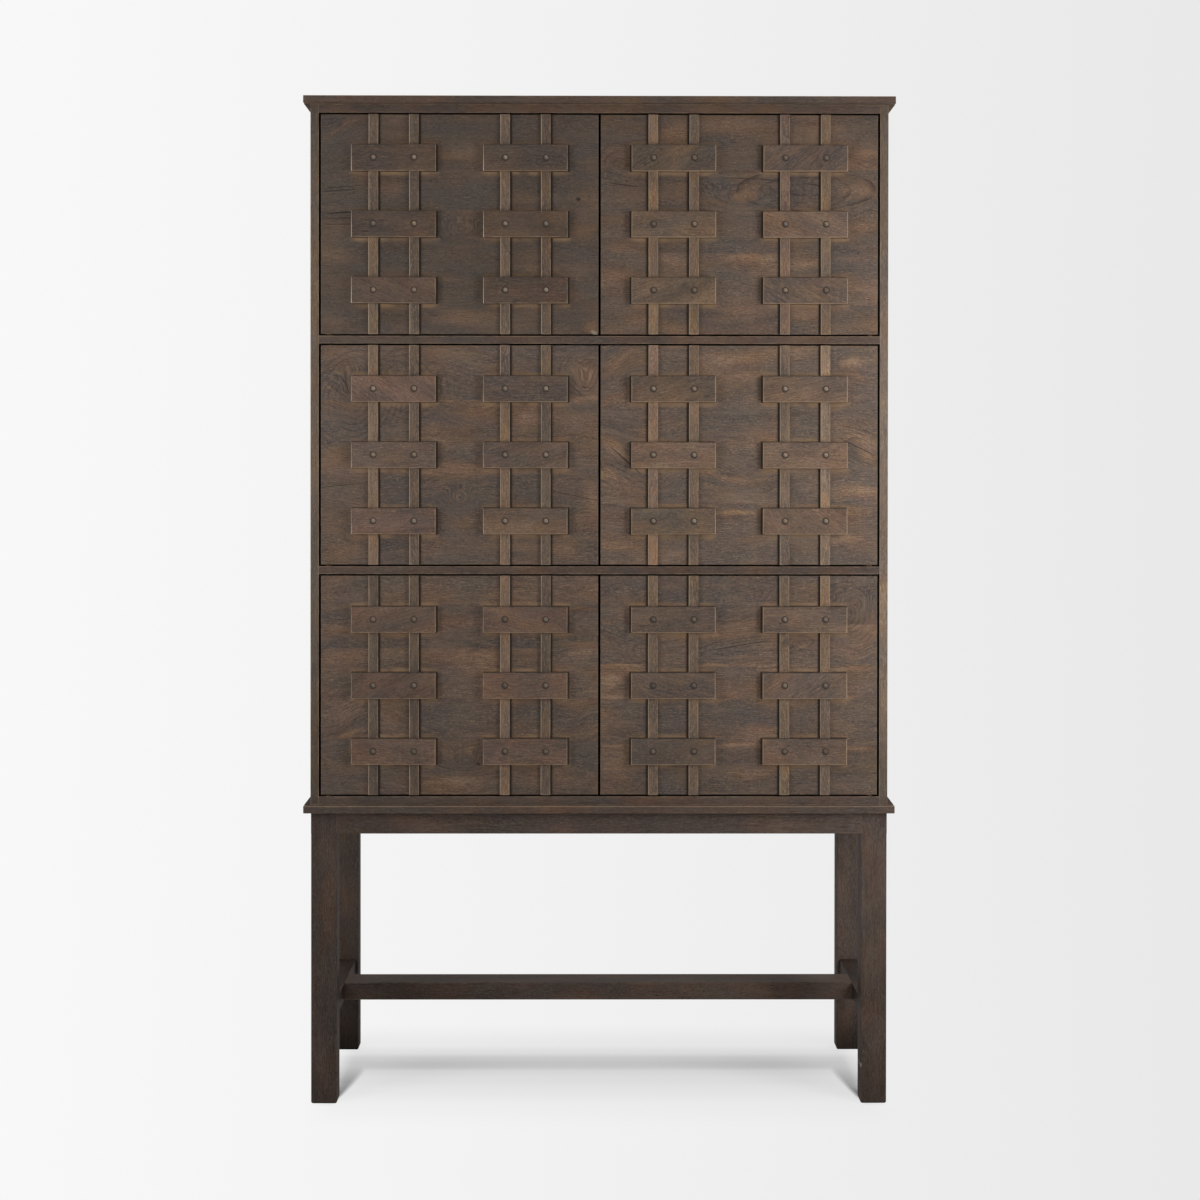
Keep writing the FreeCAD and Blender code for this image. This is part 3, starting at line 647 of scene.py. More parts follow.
def made_piece(name, tree, values, body, node):
    """Runs a tree with its inputs set, keeps the result as a plain mesh, and hangs it on its body."""
    carrier = placed(name + "_maker", bpy.data.meshes.new(name + "_maker"))
    maker = carrier.modifiers.new("Maker", "NODES")
    maker.node_group = tree
    sockets = {item.name: item.identifier for item in tree.interface.items_tree if item.in_out == "INPUT"}
    for socket, value in values.items():
        maker[sockets[socket]] = value
    evaluated = carrier.evaluated_get(bpy.context.evaluated_depsgraph_get())
    mesh = bpy.data.meshes.new_from_object(evaluated)
    mesh.name = name
    bpy.data.objects.remove(carrier)
    piece = placed(name, mesh)
    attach(piece, body)
    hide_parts(node)


def paint(node, material):
    """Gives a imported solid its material."""
    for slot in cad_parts[node].material_slots:
        slot.material = material


def middle_of(node):
    """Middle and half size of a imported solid's box, in millimetres."""
    low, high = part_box(node)
    return tuple((low + high) / 2 / MM), tuple((high - low) / 2 / MM)


# What is drawn on each door


def row_height(tree, height, floor):
    """Height over the foot of the nearest row of blocks below."""
    level = add(tree, "ShaderNodeMath", height, -floor, operation="ADD")
    return add(tree, "ShaderNodeMath", level, BLOCK_ROW_PITCH, operation="FLOORED_MODULO")


def distance(tree, place, border):
    """How far a number lies from another, on either side."""
    away = add(tree, "ShaderNodeMath", place, border, operation="SUBTRACT")
    return add(tree, "ShaderNodeMath", away, operation="ABSOLUTE")


def wiped_round_blocks(ladders, floor):
    """Stain wiped thin on the panel in a soft strip under and over each block."""

    def where(tree, place, x_y_z):
        level = row_height(tree, x_y_z[2], floor)
        under = add(tree, "ShaderNodeMapRange", level, BLOCK_ROW_PITCH - 15.0, BLOCK_ROW_PITCH - 1.5)
        under = add(tree, "ShaderNodeMath", under, 1.4, operation="POWER")
        over = add(tree, "ShaderNodeMapRange", level, BLOCK_SIZE[2] + 9.0, BLOCK_SIZE[2] + 1.0, 0.0, 0.9)
        past = add(tree, "ShaderNodeMath", level, BLOCK_SIZE[2], operation="GREATER_THAN")
        strip = add(tree, "ShaderNodeMath", over, past, operation="MULTIPLY")
        strip = add(tree, "ShaderNodeMath", strip, under, operation="MAXIMUM")
        patchy = add(tree, "ShaderNodeTexNoise", {"Vector": place, "Scale": 0.016, "Detail": 3.0})
        patchy = add(tree, "ShaderNodeMapRange", patchy, 0.4, 0.58, 0.3, 1.0)
        strip = add(tree, "ShaderNodeMath", strip, patchy, operation="MULTIPLY")
        reach = None
        for ladder in ladders:
            away = distance(tree, x_y_z[0], ladder)
            near = add(tree, "ShaderNodeMapRange", away, BLOCK_HALF[0] + 9.0, BLOCK_HALF[0] - 9.0)
            reach = add(tree, "ShaderNodeMath", near, reach, operation="MAXIMUM") if reach else near
        return add(tree, "ShaderNodeMath", reach, strip, operation="MULTIPLY")

    return where


def wiped_gold_and_painted_shade(ladders, floor, light_lean, half, gold):
    """Painted shade in the corner beside each strap and block, and along the panel's own edges at the gaps.

    It is wider, by lean millimetres, on the side away from the near lamp, where the painted shadow
    falls. gold is how much bare wood shows in the wiped strips over and under the blocks.
    """

    def finish(tree, place, x_y_z, colour):
        level = row_height(tree, x_y_z[2], floor)
        # Height over and under a block, negative inside its row. These distances count for more than those
        # beside it, so the painted shade is thinner over and under a block, where the stain was wiped off.
        over = add(tree, "ShaderNodeMath", level, 2.2, -2.2 * BLOCK_SIZE[2], operation="MULTIPLY_ADD")
        under = add(tree, "ShaderNodeMath", level, -2.6, 2.6 * BLOCK_ROW_PITCH, operation="MULTIPLY_ADD")
        row = add(tree, "ShaderNodeMath", over, under, operation="MINIMUM")
        front = add(tree, "ShaderNodeMath", x_y_z[1], 0.5 - half[1], operation="LESS_THAN")
        patches = add(tree, "ShaderNodeTexNoise", {"Vector": place, "Scale": 0.026, "Detail": 3.0})
        patches = add(tree, "ShaderNodeMapRange", patches, 0.4, 0.6)
        below = add(tree, "ShaderNodeMapRange", under, 24.0, 5.0, 0.0, gold[1])
        above = add(tree, "ShaderNodeMapRange", over, 20.0, 4.0, 0.0, gold[0])
        strip = add(tree, "ShaderNodeMath", below, above, operation="MAXIMUM")
        strip = add(tree, "ShaderNodeMath", strip, patches, operation="MULTIPLY")
        strip = add(tree, "ShaderNodeMath", strip, front, operation="MULTIPLY")
        for ladder in ladders:
            away = distance(tree, x_y_z[0], ladder + light_lean)
            near = add(tree, "ShaderNodeMapRange", away, BLOCK_HALF[0] + 8.0, BLOCK_HALF[0] - 6.0)
            wiped = add(tree, "ShaderNodeMath", strip, near, operation="MULTIPLY")
            colour = tinted(tree, colour, wiped, WIPED_GOLD)
            # Painted shadow beside each block and strap, wider on the side away from the near lamp
            end = add(tree, "ShaderNodeMath", away, BLOCK_HALF[0], operation="SUBTRACT")
            beside_block = add(tree, "ShaderNodeMath", end, row, operation="MAXIMUM")
            strap = distance(tree, away, PEG_ASIDE)
            strap = add(tree, "ShaderNodeMath", strap, STRAP_WIDTH / 2, operation="SUBTRACT")
            beside = add(tree, "ShaderNodeMath", beside_block, strap, operation="MINIMUM")
            corner_shade = add(tree, "ShaderNodeMapRange", beside, 3.0, 0.6, 0.0, 0.85)
            corner_shade = add(tree, "ShaderNodeMath", corner_shade, front, operation="MULTIPLY")
            colour = tinted(tree, colour, corner_shade, PAINTED_SHADE)
        # Painted shade along the panel's own edges, at the gaps round the door
        for axis in (0, 2):
            side = add(tree, "ShaderNodeMath", x_y_z[axis], operation="ABSOLUTE")
            side = add(tree, "ShaderNodeMapRange", side, half[axis] - 0.9, half[axis] - 0.3)
            colour = tinted(tree, colour, side, PAINTED_SHADE)
        return colour

    return finish


def edge_line(tree, place, half, side, outer, inner, share):
    """Thin line along one side of a box: side is -1 or 1, and outer and inner are how far in it runs."""
    return add(tree, "ShaderNodeMapRange", place, side * (half - outer), side * (half - inner), 0.0, share)


def rim(tree, colour, x_y_z, half, axis, side, share, stain):
    """Draws a thin line of another stain along one side of a box. side is -1 or 1 of the axis."""
    line = edge_line(tree, x_y_z[axis], half[axis], side, 1.7, 0.8, share)
    return tinted(tree, colour, line, stain)


def door_marks(tree, colour, marks, middle):
    """Draws marks at places in millimetres from a door's middle, on whichever piece is there."""
    for centre, half, angle, stain in marks:
        place = in_millimetres(tree, add(tree, "ShaderNodeTexCoord").outputs["Object"], middle)
        colour = tinted(tree, colour, oval_mask(tree, place, centre, half, angle, sharp=True), stain)
    return colour


def block_finish(look, middle):
    """Cross blocks' painted shade round pegs and at the top, and rims with wear and a painted highlight."""
    left, right, bottom = look["block_rims"]
    rims = (
        (0, -1, left, GOLDEN_WEAR_AND_HIGHLIGHT), (0, 1, right, GOLDEN_WEAR_AND_HIGHLIGHT), (2, -1, bottom, GOLDEN_WEAR_AND_HIGHLIGHT),
        (2, 1, 0.75, PAINTED_SHADE),
    )

    def finish(tree, place, x_y_z, colour):
        colour = peg_rings(tree, x_y_z, colour)
        for where in rims:
            colour = rim(tree, colour, x_y_z, BLOCK_HALF, *where)
        return door_marks(tree, colour, look.get("block_marks", ()), middle)

    return finish


def strap_finish(look, middle, half):
    """Thin light line along the left edge of a door's straps: wear with a painted highlight."""

    def finish(tree, place, x_y_z, colour):
        colour = rim(tree, colour, x_y_z, half, 0, -1, look["strap_rim"], PALE_WEAR_AND_HIGHLIGHT)
        return door_marks(tree, colour, look.get("strap_marks", ()), middle)

    return finish


def peg_rings(tree, x_y_z, colour):
    """Painted shade in the ring-shaped gap round each peg, drawn on the cross block."""
    side = add(tree, "ShaderNodeMath", x_y_z[0], operation="ABSOLUTE")
    side = add(tree, "ShaderNodeMath", side, PEG_ASIDE, operation="SUBTRACT")
    flat = add(tree, "ShaderNodeCombineXYZ", side, x_y_z[2])
    out = add(tree, "ShaderNodeVectorMath", flat, operation="LENGTH")
    ring = add(tree, "ShaderNodeMapRange", out, 7.4, 5.6, 0.0, 0.85)
    return tinted(tree, colour, ring, RING_GAP_SHADE)


def peg_shade(tree, place, x_y_z, colour):
    """Dark crescent at the lower left of each peg's head, where the light doesn't reach."""
    off = add(tree, "ShaderNodeVectorMath", place, (-1.5, -1.3, 0.0))
    off = add(tree, "ShaderNodeVectorMath", off, (1.0, 1.0, 0.0), operation="MULTIPLY")
    out = add(tree, "ShaderNodeVectorMath", off, operation="LENGTH")
    dark = add(tree, "ShaderNodeMapRange", out, 3.0, 4.7, 0.0, 0.85)
    return tinted(tree, colour, dark, PEG_SHADOW)


def block_number(middle_x, floor):
    """Gives the number of a cross block: up the left ladder from 0, then up the right one."""

    def number(tree):
        source = add(tree, "ShaderNodeTexCoord").outputs["Object"]
        x_y_z = add(tree, "ShaderNodeSeparateXYZ", source).outputs
        right = add(tree, "ShaderNodeMath", x_y_z[0], middle_x * MM, operation="GREATER_THAN")
        top = (floor + BLOCKS_UP * BLOCK_ROW_PITCH) * MM
        level = add(tree, "ShaderNodeMapRange", x_y_z[2], floor * MM, top, 0.0, float(BLOCKS_UP))
        level = add(tree, "ShaderNodeMath", level, operation="FLOOR")
        return add(tree, "ShaderNodeMath", right, float(BLOCKS_UP), level, operation="MULTIPLY_ADD")

    return number


def strap_number(borders):
    """Gives the number of a strap, from 0 at the left. borders are the places between the straps."""

    def number(tree):
        source = add(tree, "ShaderNodeTexCoord").outputs["Object"]
        x = add(tree, "ShaderNodeSeparateXYZ", source).outputs[0]
        total = 0.0
        for border in borders:
            past = add(tree, "ShaderNodeMath", x, border * MM, operation="GREATER_THAN")
            total = add(tree, "ShaderNodeMath", past, total, operation="ADD")
        return total

    return number


DOOR_LOOKS = {
    # Places are in millimetres from the door's middle. peg_tone: tone of the pegs. gold: bare wood over and
    # under the blocks. block_rims: how strong the rims with wear and a painted highlight are at the left end,
    # the right end and the bottom of the blocks, and end_wear_and_highlight the same for the end that faces
    # the near lamp.
    # knots: place, reach, and the rise that bends the rings. slants: place, reach, and how steeply the grain
    # runs. boards: start up the door, tone and warmth, where 0.5 is even. stains: place, reach and slant of a
    # patch, and how much warmer it is. veins: place, reach, slant, how many lines, and how dark. Marks:
    # place, reach, slant and colour. blocks and straps: tone, warmth, turn of the grain and hue of each.
    # Blocks run up the left ladder and then up the right one, and straps from the left. block_marks,
    # strap_marks and others that are left out are empty.
    "upper_left": {
        "peg_tone": 1.16, "gold": (0.15, 0.85), "end_wear_and_highlight": 1.0, "tones": UMBER_DOOR, "tone": 0.84,
        "block_rims": (0.0, 0.2, 0.25), "strap_rim": 0.75,
        "block_marks": (((-170.0, -13.5), (7.4, 1.0), 3.0, "#1a1310"),),
        # A light line along one strap's left edge: wear with a painted highlight
        "strap_marks": (((-99.0, -1.0), (0.8, 7.4), 2.0, "#a79a8a"),),
        "veins": (
            ((-28, -32), (15, 12), 0, 3, 0.55), ((10, -42), (52, 30), -18, 4, 0.35),
            ((15, -86), (70, 36), 0, 5, 0.25), ((225, 175), (60, 30), 20, 5, 0.25),
        ),
        "marks": (
            ((-222, 61, 40, 1.3, -4), "#2a221e"), ((-222, 67, 40, 1.0, -5), "#2c241f"),
            ((-215, 21, 34, 1.7, -3), "#211a17"), ((-218, 11, 36, 1.0, -2), "#2c241f"),
            ((-218, 0, 30, 0.9, -2), "#2e2622"), ((215, 46, 5, 4, 0), "#2b211c"),
            ((244, -196, 8, 4, 30), "#7d6f5f"),
        ),
        "knots": ((-20, -23, 22, 16, 20), (4, -16, 80, 34, 30)),
        "slants": ((-208, 150, 70, 60, 0.5), (-215, 40, 60, 40, 0.12), (60, -120, 90, 50, 0.1)),
        "boards": ((0, 0.483, 0.53), (0.24, 0.48, 0.5), (0.56, 0.502, 0.46), (0.8, 0.51, 0.49)),
        "stains": (
            ((-208, 176, 60, 9, -30), 0.16), ((-232, 100, 40, 40, 0), -0.12), ((14, 125, 45, 16, 0), 0.16),
            ((-17, 59, 80, 22, 0), -0.12), ((-106, -58, 50, 30, 0), -0.1), ((18, -167, 75, 12, 0), 0.18),
            ((-216, -57, 40, 16, 0), 0.1), ((224, -71, 35, 20, 0), 0.14), ((186, -130, 30, 16, 0), 0.12),
            ((-236, 186, 22, 30, 0), -0.14), ((238, -186, 18, 12, 0), 0.3), ((100, 172, 40, 30, 0), -0.06),
            ((215, 150, 36, 50, 0), -0.06), ((-10, -80, 50, 18, 8), -0.08),
        ),
        "blocks": (
            (0.39, 0.62, 0.62, 0.45), (0.35, 0.49, 0.5, 0.5), (0.36, 0.48, 0.5, 0.5),
            (0.36, 0.45, 0.5, 0.45), (0.33, 0.69, 0.5, 0.5), (0.39, 0.4, 0.5, 0.5),
        ),
        "straps": (
            (0.46, 0.44, 0.5, 0.5), (0.43, 0.18, 0.5, 0.5), (0.5, 0.48, 0.5, 0.5), (0.39, 0.47, 0.5, 0.5),
        ),
    },
    "upper_right": {
        "peg_tone": 0.88, "gold": (0.3, 0.8), "end_wear_and_highlight": 0.7, "tones": BROWN_DOOR, "tone": 0.89,
        "block_rims": (0.7, 0.6, 0.7), "strap_rim": 0.35,
        "veins": (
            ((120, 63), (129, 37), 0, 3, 0.8), ((12, 53), (34, 17), 0, 4, 0.5),
            ((10, 56), (110, 42), 0, 4, 0.4), ((-215, 110), (44, 38), 20, 3, 0.4),
            ((-40, 78), (60, 16), 4, 3, 0.3),
        ),
        "marks": (((-210, 72, 34, 1.2, 8), "#2f2723"), ((10, 84, 60, 0.9, 2), "#2f2723")),
        "knots": ((5, 49, 40, 17, 30), (-30, 50, 110, 30, 20)),
        "slants": (
            (195, 96, 70, 26, -0.42), (195, 38, 70, 26, 0.36), (-215, 92, 60, 40, -0.35),
            (60, -150, 90, 40, 0.08),
        ),
        "boards": (
            (0, 0.527, 0.5), (0.13, 0.559, 0.51), (0.37, 0.512, 0.44), (0.58, 0.493, 0.39),
            (0.75, 0.469, 0.51),
        ),
        "stains": (
            ((15, 180, 70, 30, 0), 0.13), ((-119, 173, 35, 28, 0), 0.1), ((-33, 152, 45, 12, 0), -0.14),
            ((56, 49, 22, 16, 0), -0.16), ((-47, 70, 40, 20, 0), -0.1), ((12, 56, 42, 18, 0), 0.16),
            ((214, 66, 36, 20, 0), 0.16), ((249, 42, 14, 12, 0), -0.16), ((235, 131, 26, 10, 0), 0.22),
            ((15, -61, 50, 8, 0), 0.26), ((118, -68, 35, 10, 0), 0.2), ((1, -34, 80, 14, 0), -0.14),
            ((197, -44, 60, 14, 0), -0.12), ((-208, -34, 50, 40, 0), 0.08), ((118, -164, 40, 14, 0), 0.2),
            ((-181, -171, 40, 10, 0), 0.14), ((-112, -157, 30, 16, 0), -0.1), ((120, 150, 30, 30, 0), 0.08),
        ),
        "blocks": (
            (0.48, 0.57, 0.38, 0.65), (0.54, 0.6, 0.5, 0.62), (0.44, 0.45, 0.3, 0.62),
            (0.57, 0.49, 0.66, 0.5), (0.54, 0.75, 0.6, 0.5), (0.52, 0.38, 0.26, 0.45),
        ),
        "straps": (
            (0.51, 0.63, 0.5, 0.5), (0.48, 0.52, 0.5, 0.5), (0.52, 0.5, 0.5, 0.34), (0.48, 0.6, 0.5, 0.5),
        ),
    },
    "middle_left": {
        "peg_tone": 1.14, "gold": (0.4, 0.85), "end_wear_and_highlight": 0.5, "tones": BROWN_DOOR, "tone": 0.89,
        "block_rims": (0.0, 0.4, 0.5), "strap_rim": 0.5,
        "veins": (
            ((-190, 100), (86, 104), 22, 9, 0.5), ((236, 152), (56, 46), -10, 6, 0.5),
            ((-90, 130), (70, 66), 20, 6, 0.4), ((20, 120), (90, 70), 12, 8, 0.35),
            ((-9, -73), (34, 24), 0, 4, 0.35), ((229, -133), (42, 44), 0, 6, 0.45),
            ((-56, -155), (22, 24), 0, 4, 0.45),
        ),
        "marks": (((205, -73, 56, 0.9, 12), "#332a25"), ((-222, -56, 50, 1.0, -6), "#332a25")),
        "knots": ((-180, 110, 90, 70, 46), (228, 120, 46, 60, 36), (0, -84, 40, 32, 34)),
        "slants": (
            (-230, 150, 50, 60, 0.5), (-5, 150, 80, 50, -0.3), (-200, -120, 70, 60, -0.25),
            (120, -60, 60, 30, -0.15),
        ),
        "boards": ((0, 0.482, 0.39), (0.41, 0.516, 0.46), (0.75, 0.53, 0.41)),
        "stains": (
            ((-206, 171, 42, 24, -25), 0.15), ((-237, 133, 25, 22, 0), -0.15),
            ((-223, 58, 45, 30, 0), -0.14), ((-237, -11, 35, 28, 0), 0.16), ((-37, 99, 50, 8, 0), 0.15),
            ((-44, 65, 45, 12, 0), -0.14), ((-3, -25, 60, 14, 0), 0.2), ((-3, -80, 40, 36, 0), -0.1),
            ((-120, -166, 40, 26, 0), -0.18), ((230, 147, 28, 26, 0), 0.14), ((241, -73, 16, 26, 0), 0.2),
            ((189, -169, 30, 20, 0), 0.16), ((-202, -172, 50, 14, 0), 0.16), ((121, 68, 30, 24, 0), 0.12),
            ((121, -52, 30, 18, 0), -0.14), ((210, 100, 40, 8, 0), 0.14), ((100, -168, 40, 12, 8), 0.1),
        ),
        "blocks": (
            (0.49, 0.65, 0.5, 0.3), (0.56, 0.47, 0.5, 0.5), (0.53, 0.63, 0.7, 0.3), (0.53, 0.57, 0.5, 0.5),
            (0.51, 0.47, 0.4, 0.5), (0.49, 0.22, 0.5, 0.5),
        ),
        "straps": (
            (0.53, 0.65, 0.5, 0.45), (0.42, 0.37, 0.5, 0.5), (0.51, 0.6, 0.5, 0.45), (0.43, 0.43, 0.5, 0.5),
        ),
    },
    "middle_right": {
        "peg_tone": 1.21, "gold": (0.35, 0.85), "end_wear_and_highlight": 0.7, "tones": TAN_DOOR, "tone": 0.855,
        "block_rims": (0.7, 0.6, 0.7), "strap_rim": 0.35,
        "veins": (
            ((-300, -10), (120, 40), 42, 4, 0.5), ((260, -5), (120, 34), 26, 5, 0.5),
            ((-8, -40), (70, 18), 20, 3, 0.4), ((222, 160), (46, 26), 16, 3, 0.3),
        ),
        "marks": (((-205, -10, 44, 1.4, 42), "#332924"), ((214, 16, 46, 1.1, 26), "#3a2f28")),
        "slants": (
            (-215, 165, 70, 50, 0.6), (-205, 0, 80, 70, -0.6), (-30, -20, 90, 50, -0.35),
            (225, 10, 60, 70, -0.5), (214, 130, 60, 30, -0.3),
        ),
        "boards": (
            (0, 0.509, 0.43), (0.275, 0.537, 0.44), (0.395, 0.533, 0.43), (0.62, 0.506, 0.45),
            (0.775, 0.511, 0.44),
        ),
        "stains": (
            ((-222, 168, 48, 12, -35), 0.2), ((-215, 68, 45, 24, 0), -0.14), ((-222, 10, 50, 12, 35), 0.18),
            ((-239, -35, 22, 10, 0), 0.2), ((-6, 175, 65, 16, 0), 0.14), ((22, 144, 40, 9, 0), 0.16),
            ((-12, 58, 80, 26, 0), -0.13), ((-40, -14, 40, 20, 25), -0.08), ((-19, -42, 45, 8, 15), 0.16),
            ((49, -80, 30, 22, 0), 0.12), ((-2, -105, 48, 5, 0), 0.34), ((204, 168, 26, 11, 0), 0.42),
            ((214, 144, 40, 10, 20), 0.2), ((221, 27, 40, 14, 30), 0.2), ((232, -1, 26, 10, 30), 0.18),
            ((118, 61, 34, 30, 0), -0.12), ((221, -63, 34, 12, 0), 0.22), ((187, -87, 50, 8, 0), -0.12),
            ((187, -152, 30, 10, 0), 0.16), ((118, -172, 34, 12, 0), 0.16), ((-219, -166, 45, 12, 0), 0.12),
        ),
        "blocks": (
            (0.54, 0.48, 0.5, 0.62), (0.58, 0.76, 0.5, 0.5), (0.47, 0.53, 0.44, 0.6),
            (0.58, 0.53, 0.66, 0.5), (0.6, 0.62, 0.5, 0.5), (0.58, 0.51, 0.42, 0.5),
        ),
        "straps": (
            (0.66, 0.57, 0.5, 0.34), (0.51, 0.5, 0.5, 0.45), (0.5, 0.41, 0.5, 0.5), (0.71, 0.51, 0.5, 0.5),
        ),
    },
    "lower_left": {
        "peg_tone": 0.74, "gold": (0.8, 0.55), "end_wear_and_highlight": 0.25, "tones": BROWN_DOOR, "tone": 0.79,
        "block_rims": (0.0, 0.4, 0.45), "strap_rim": 0.5,
        "veins": (
            ((8, -141), (56, 20), 0, 4, 0.45), ((-215, -50), (90, 30), -28, 5, 0.35),
            ((210, -78), (60, 24), 40, 5, 0.4), ((-214, 170), (60, 50), -30, 6, 0.3),
        ),
        "marks": (((34, -143, 5, 3, 20), "#2f2620"),),
        "knots": ((10, -139, 34, 20, 30), (10, -139, 80, 40, 20)),
        "slants": ((-205, -60, 80, 70, 0.5), (228, -70, 50, 60, 0.4), (-205, 175, 60, 40, 0.25)),
        "boards": (
            (0, 0.46, 0.49), (0.245, 0.498, 0.49), (0.44, 0.516, 0.56), (0.667, 0.455, 0.46),
            (0.755, 0.504, 0.47), (0.87, 0.539, 0.51),
        ),
        "stains": (
            ((-10, 132, 60, 13, 0), -0.16), ((-227, 127, 32, 10, 0), -0.18), ((-230, 101, 30, 8, 0), 0.14),
            ((-209, 180, 45, 28, 0), 0.08), ((-10, 49, 75, 18, 0), 0.12), ((52, 49, 22, 24, 0), 0.12),
            ((224, 60, 34, 16, 0), 0.16), ((224, 139, 30, 6, 0), 0.22), ((224, 84, 40, 7, 0), -0.14),
            ((-209, -47, 50, 18, -28), 0.1), ((-199, -88, 36, 6, -15), 0.24),
            ((-24, -47, 45, 26, 0), -0.08), ((-24, -78, 50, 10, 0), -0.12), ((11, -140, 24, 13, 0), -0.18),
            ((4, -174, 55, 8, 0), 0.2), ((224, -129, 40, 40, 0), -0.1), ((-220, -150, 40, 16, 0), 0.1),
        ),
        "blocks": (
            (0.36, 0.79, 0.5, 0.4), (0.36, 0.61, 0.36, 0.4), (0.41, 0.65, 0.42, 0.45),
            (0.45, 0.61, 0.5, 0.36), (0.45, 0.72, 0.5, 0.4), (0.43, 0.65, 0.58, 0.36),
        ),
        "straps": (
            (0.35, 0.37, 0.5, 0.5), (0.33, 0.4, 0.5, 0.5), (0.47, 0.65, 0.5, 0.45), (0.38, 0.42, 0.5, 0.5),
        ),
    },
    "lower_right": {
        "peg_tone": 0.73, "gold": (0.5, 0.75), "end_wear_and_highlight": 0.6, "tones": BROWN_DOOR, "tone": 0.93,
        "block_rims": (0.7, 0.6, 0.7), "strap_rim": 0.35,
        "veins": (
            ((196, 128), (60, 62), 30, 7, 0.5), ((222, 188), (34, 26), 0, 4, 0.5),
            ((20, 66), (120, 22), -7, 4, 0.5), ((0, 160), (80, 50), -30, 5, 0.3),
            ((-170, 60), (50, 34), 20, 4, 0.3),
        ),
        "marks": (((-2, 72, 66, 1.0, -9), "#322822"),),
        "knots": ((205, 120, 60, 60, 62), (214, 150, 40, 34, 26)),
        "slants": ((10, 75, 110, 50, 0.14), (-210, 90, 70, 50, -0.3), (235, 60, 40, 50, 0.6)),
        "boards": (
            (0, 0.447, 0.48), (0.224, 0.494, 0.44), (0.434, 0.533, 0.5), (0.594, 0.544, 0.43),
            (0.775, 0.505, 0.39),
        ),
        "stains": (
            ((-12, 163, 60, 36, 0), -0.1), ((-219, 180, 40, 20, 0), -0.08), ((15, 101, 60, 14, 0), 0.12),
            ((228, 111, 30, 26, 0), 0.12), ((118, 177, 30, 20, 0), 0.1), ((-212, 36, 45, 4, 0), 0.3),
            ((-47, 36, 30, 4, 0), 0.28), ((36, 37, 60, 3.5, 0), 0.2), ((197, 29, 40, 5, 0), 0.22),
            ((-236, 8, 26, 16, 0), 0.26), ((-232, -23, 28, 4, 0), 0.28), ((-47, -26, 26, 4, 0), 0.26),
            ((187, -23, 30, 4, 0), 0.24), ((-6, -57, 70, 24, 0), -0.14), ((118, -57, 34, 26, 0), -0.16),
            ((-122, -61, 34, 30, 0), -0.12), ((49, -81, 40, 7, 0), 0.16), ((8, -110, 55, 4, 0), 0.28),
            ((211, -115, 36, 5, 0), 0.24), ((-219, -109, 40, 4, 0), 0.22), ((-225, -150, 42, 24, 0), 0.2),
            ((15, -160, 40, 16, 0), 0.16), ((187, -164, 40, 14, 0), -0.1),
        ),
        "blocks": (
            (0.47, 0.37, 0.44, 0.55), (0.48, 0.41, 0.58, 0.5), (0.48, 0.42, 0.5, 0.5),
            (0.54, 0.54, 0.5, 0.45), (0.6, 0.49, 0.3, 0.5), (0.52, 0.51, 0.5, 0.5),
        ),
        "straps": (
            (0.47, 0.51, 0.5, 0.5), (0.43, 0.52, 0.5, 0.5), (0.49, 0.45, 0.5, 0.5), (0.48, 0.56, 0.5, 0.5),
        ),
    },
}


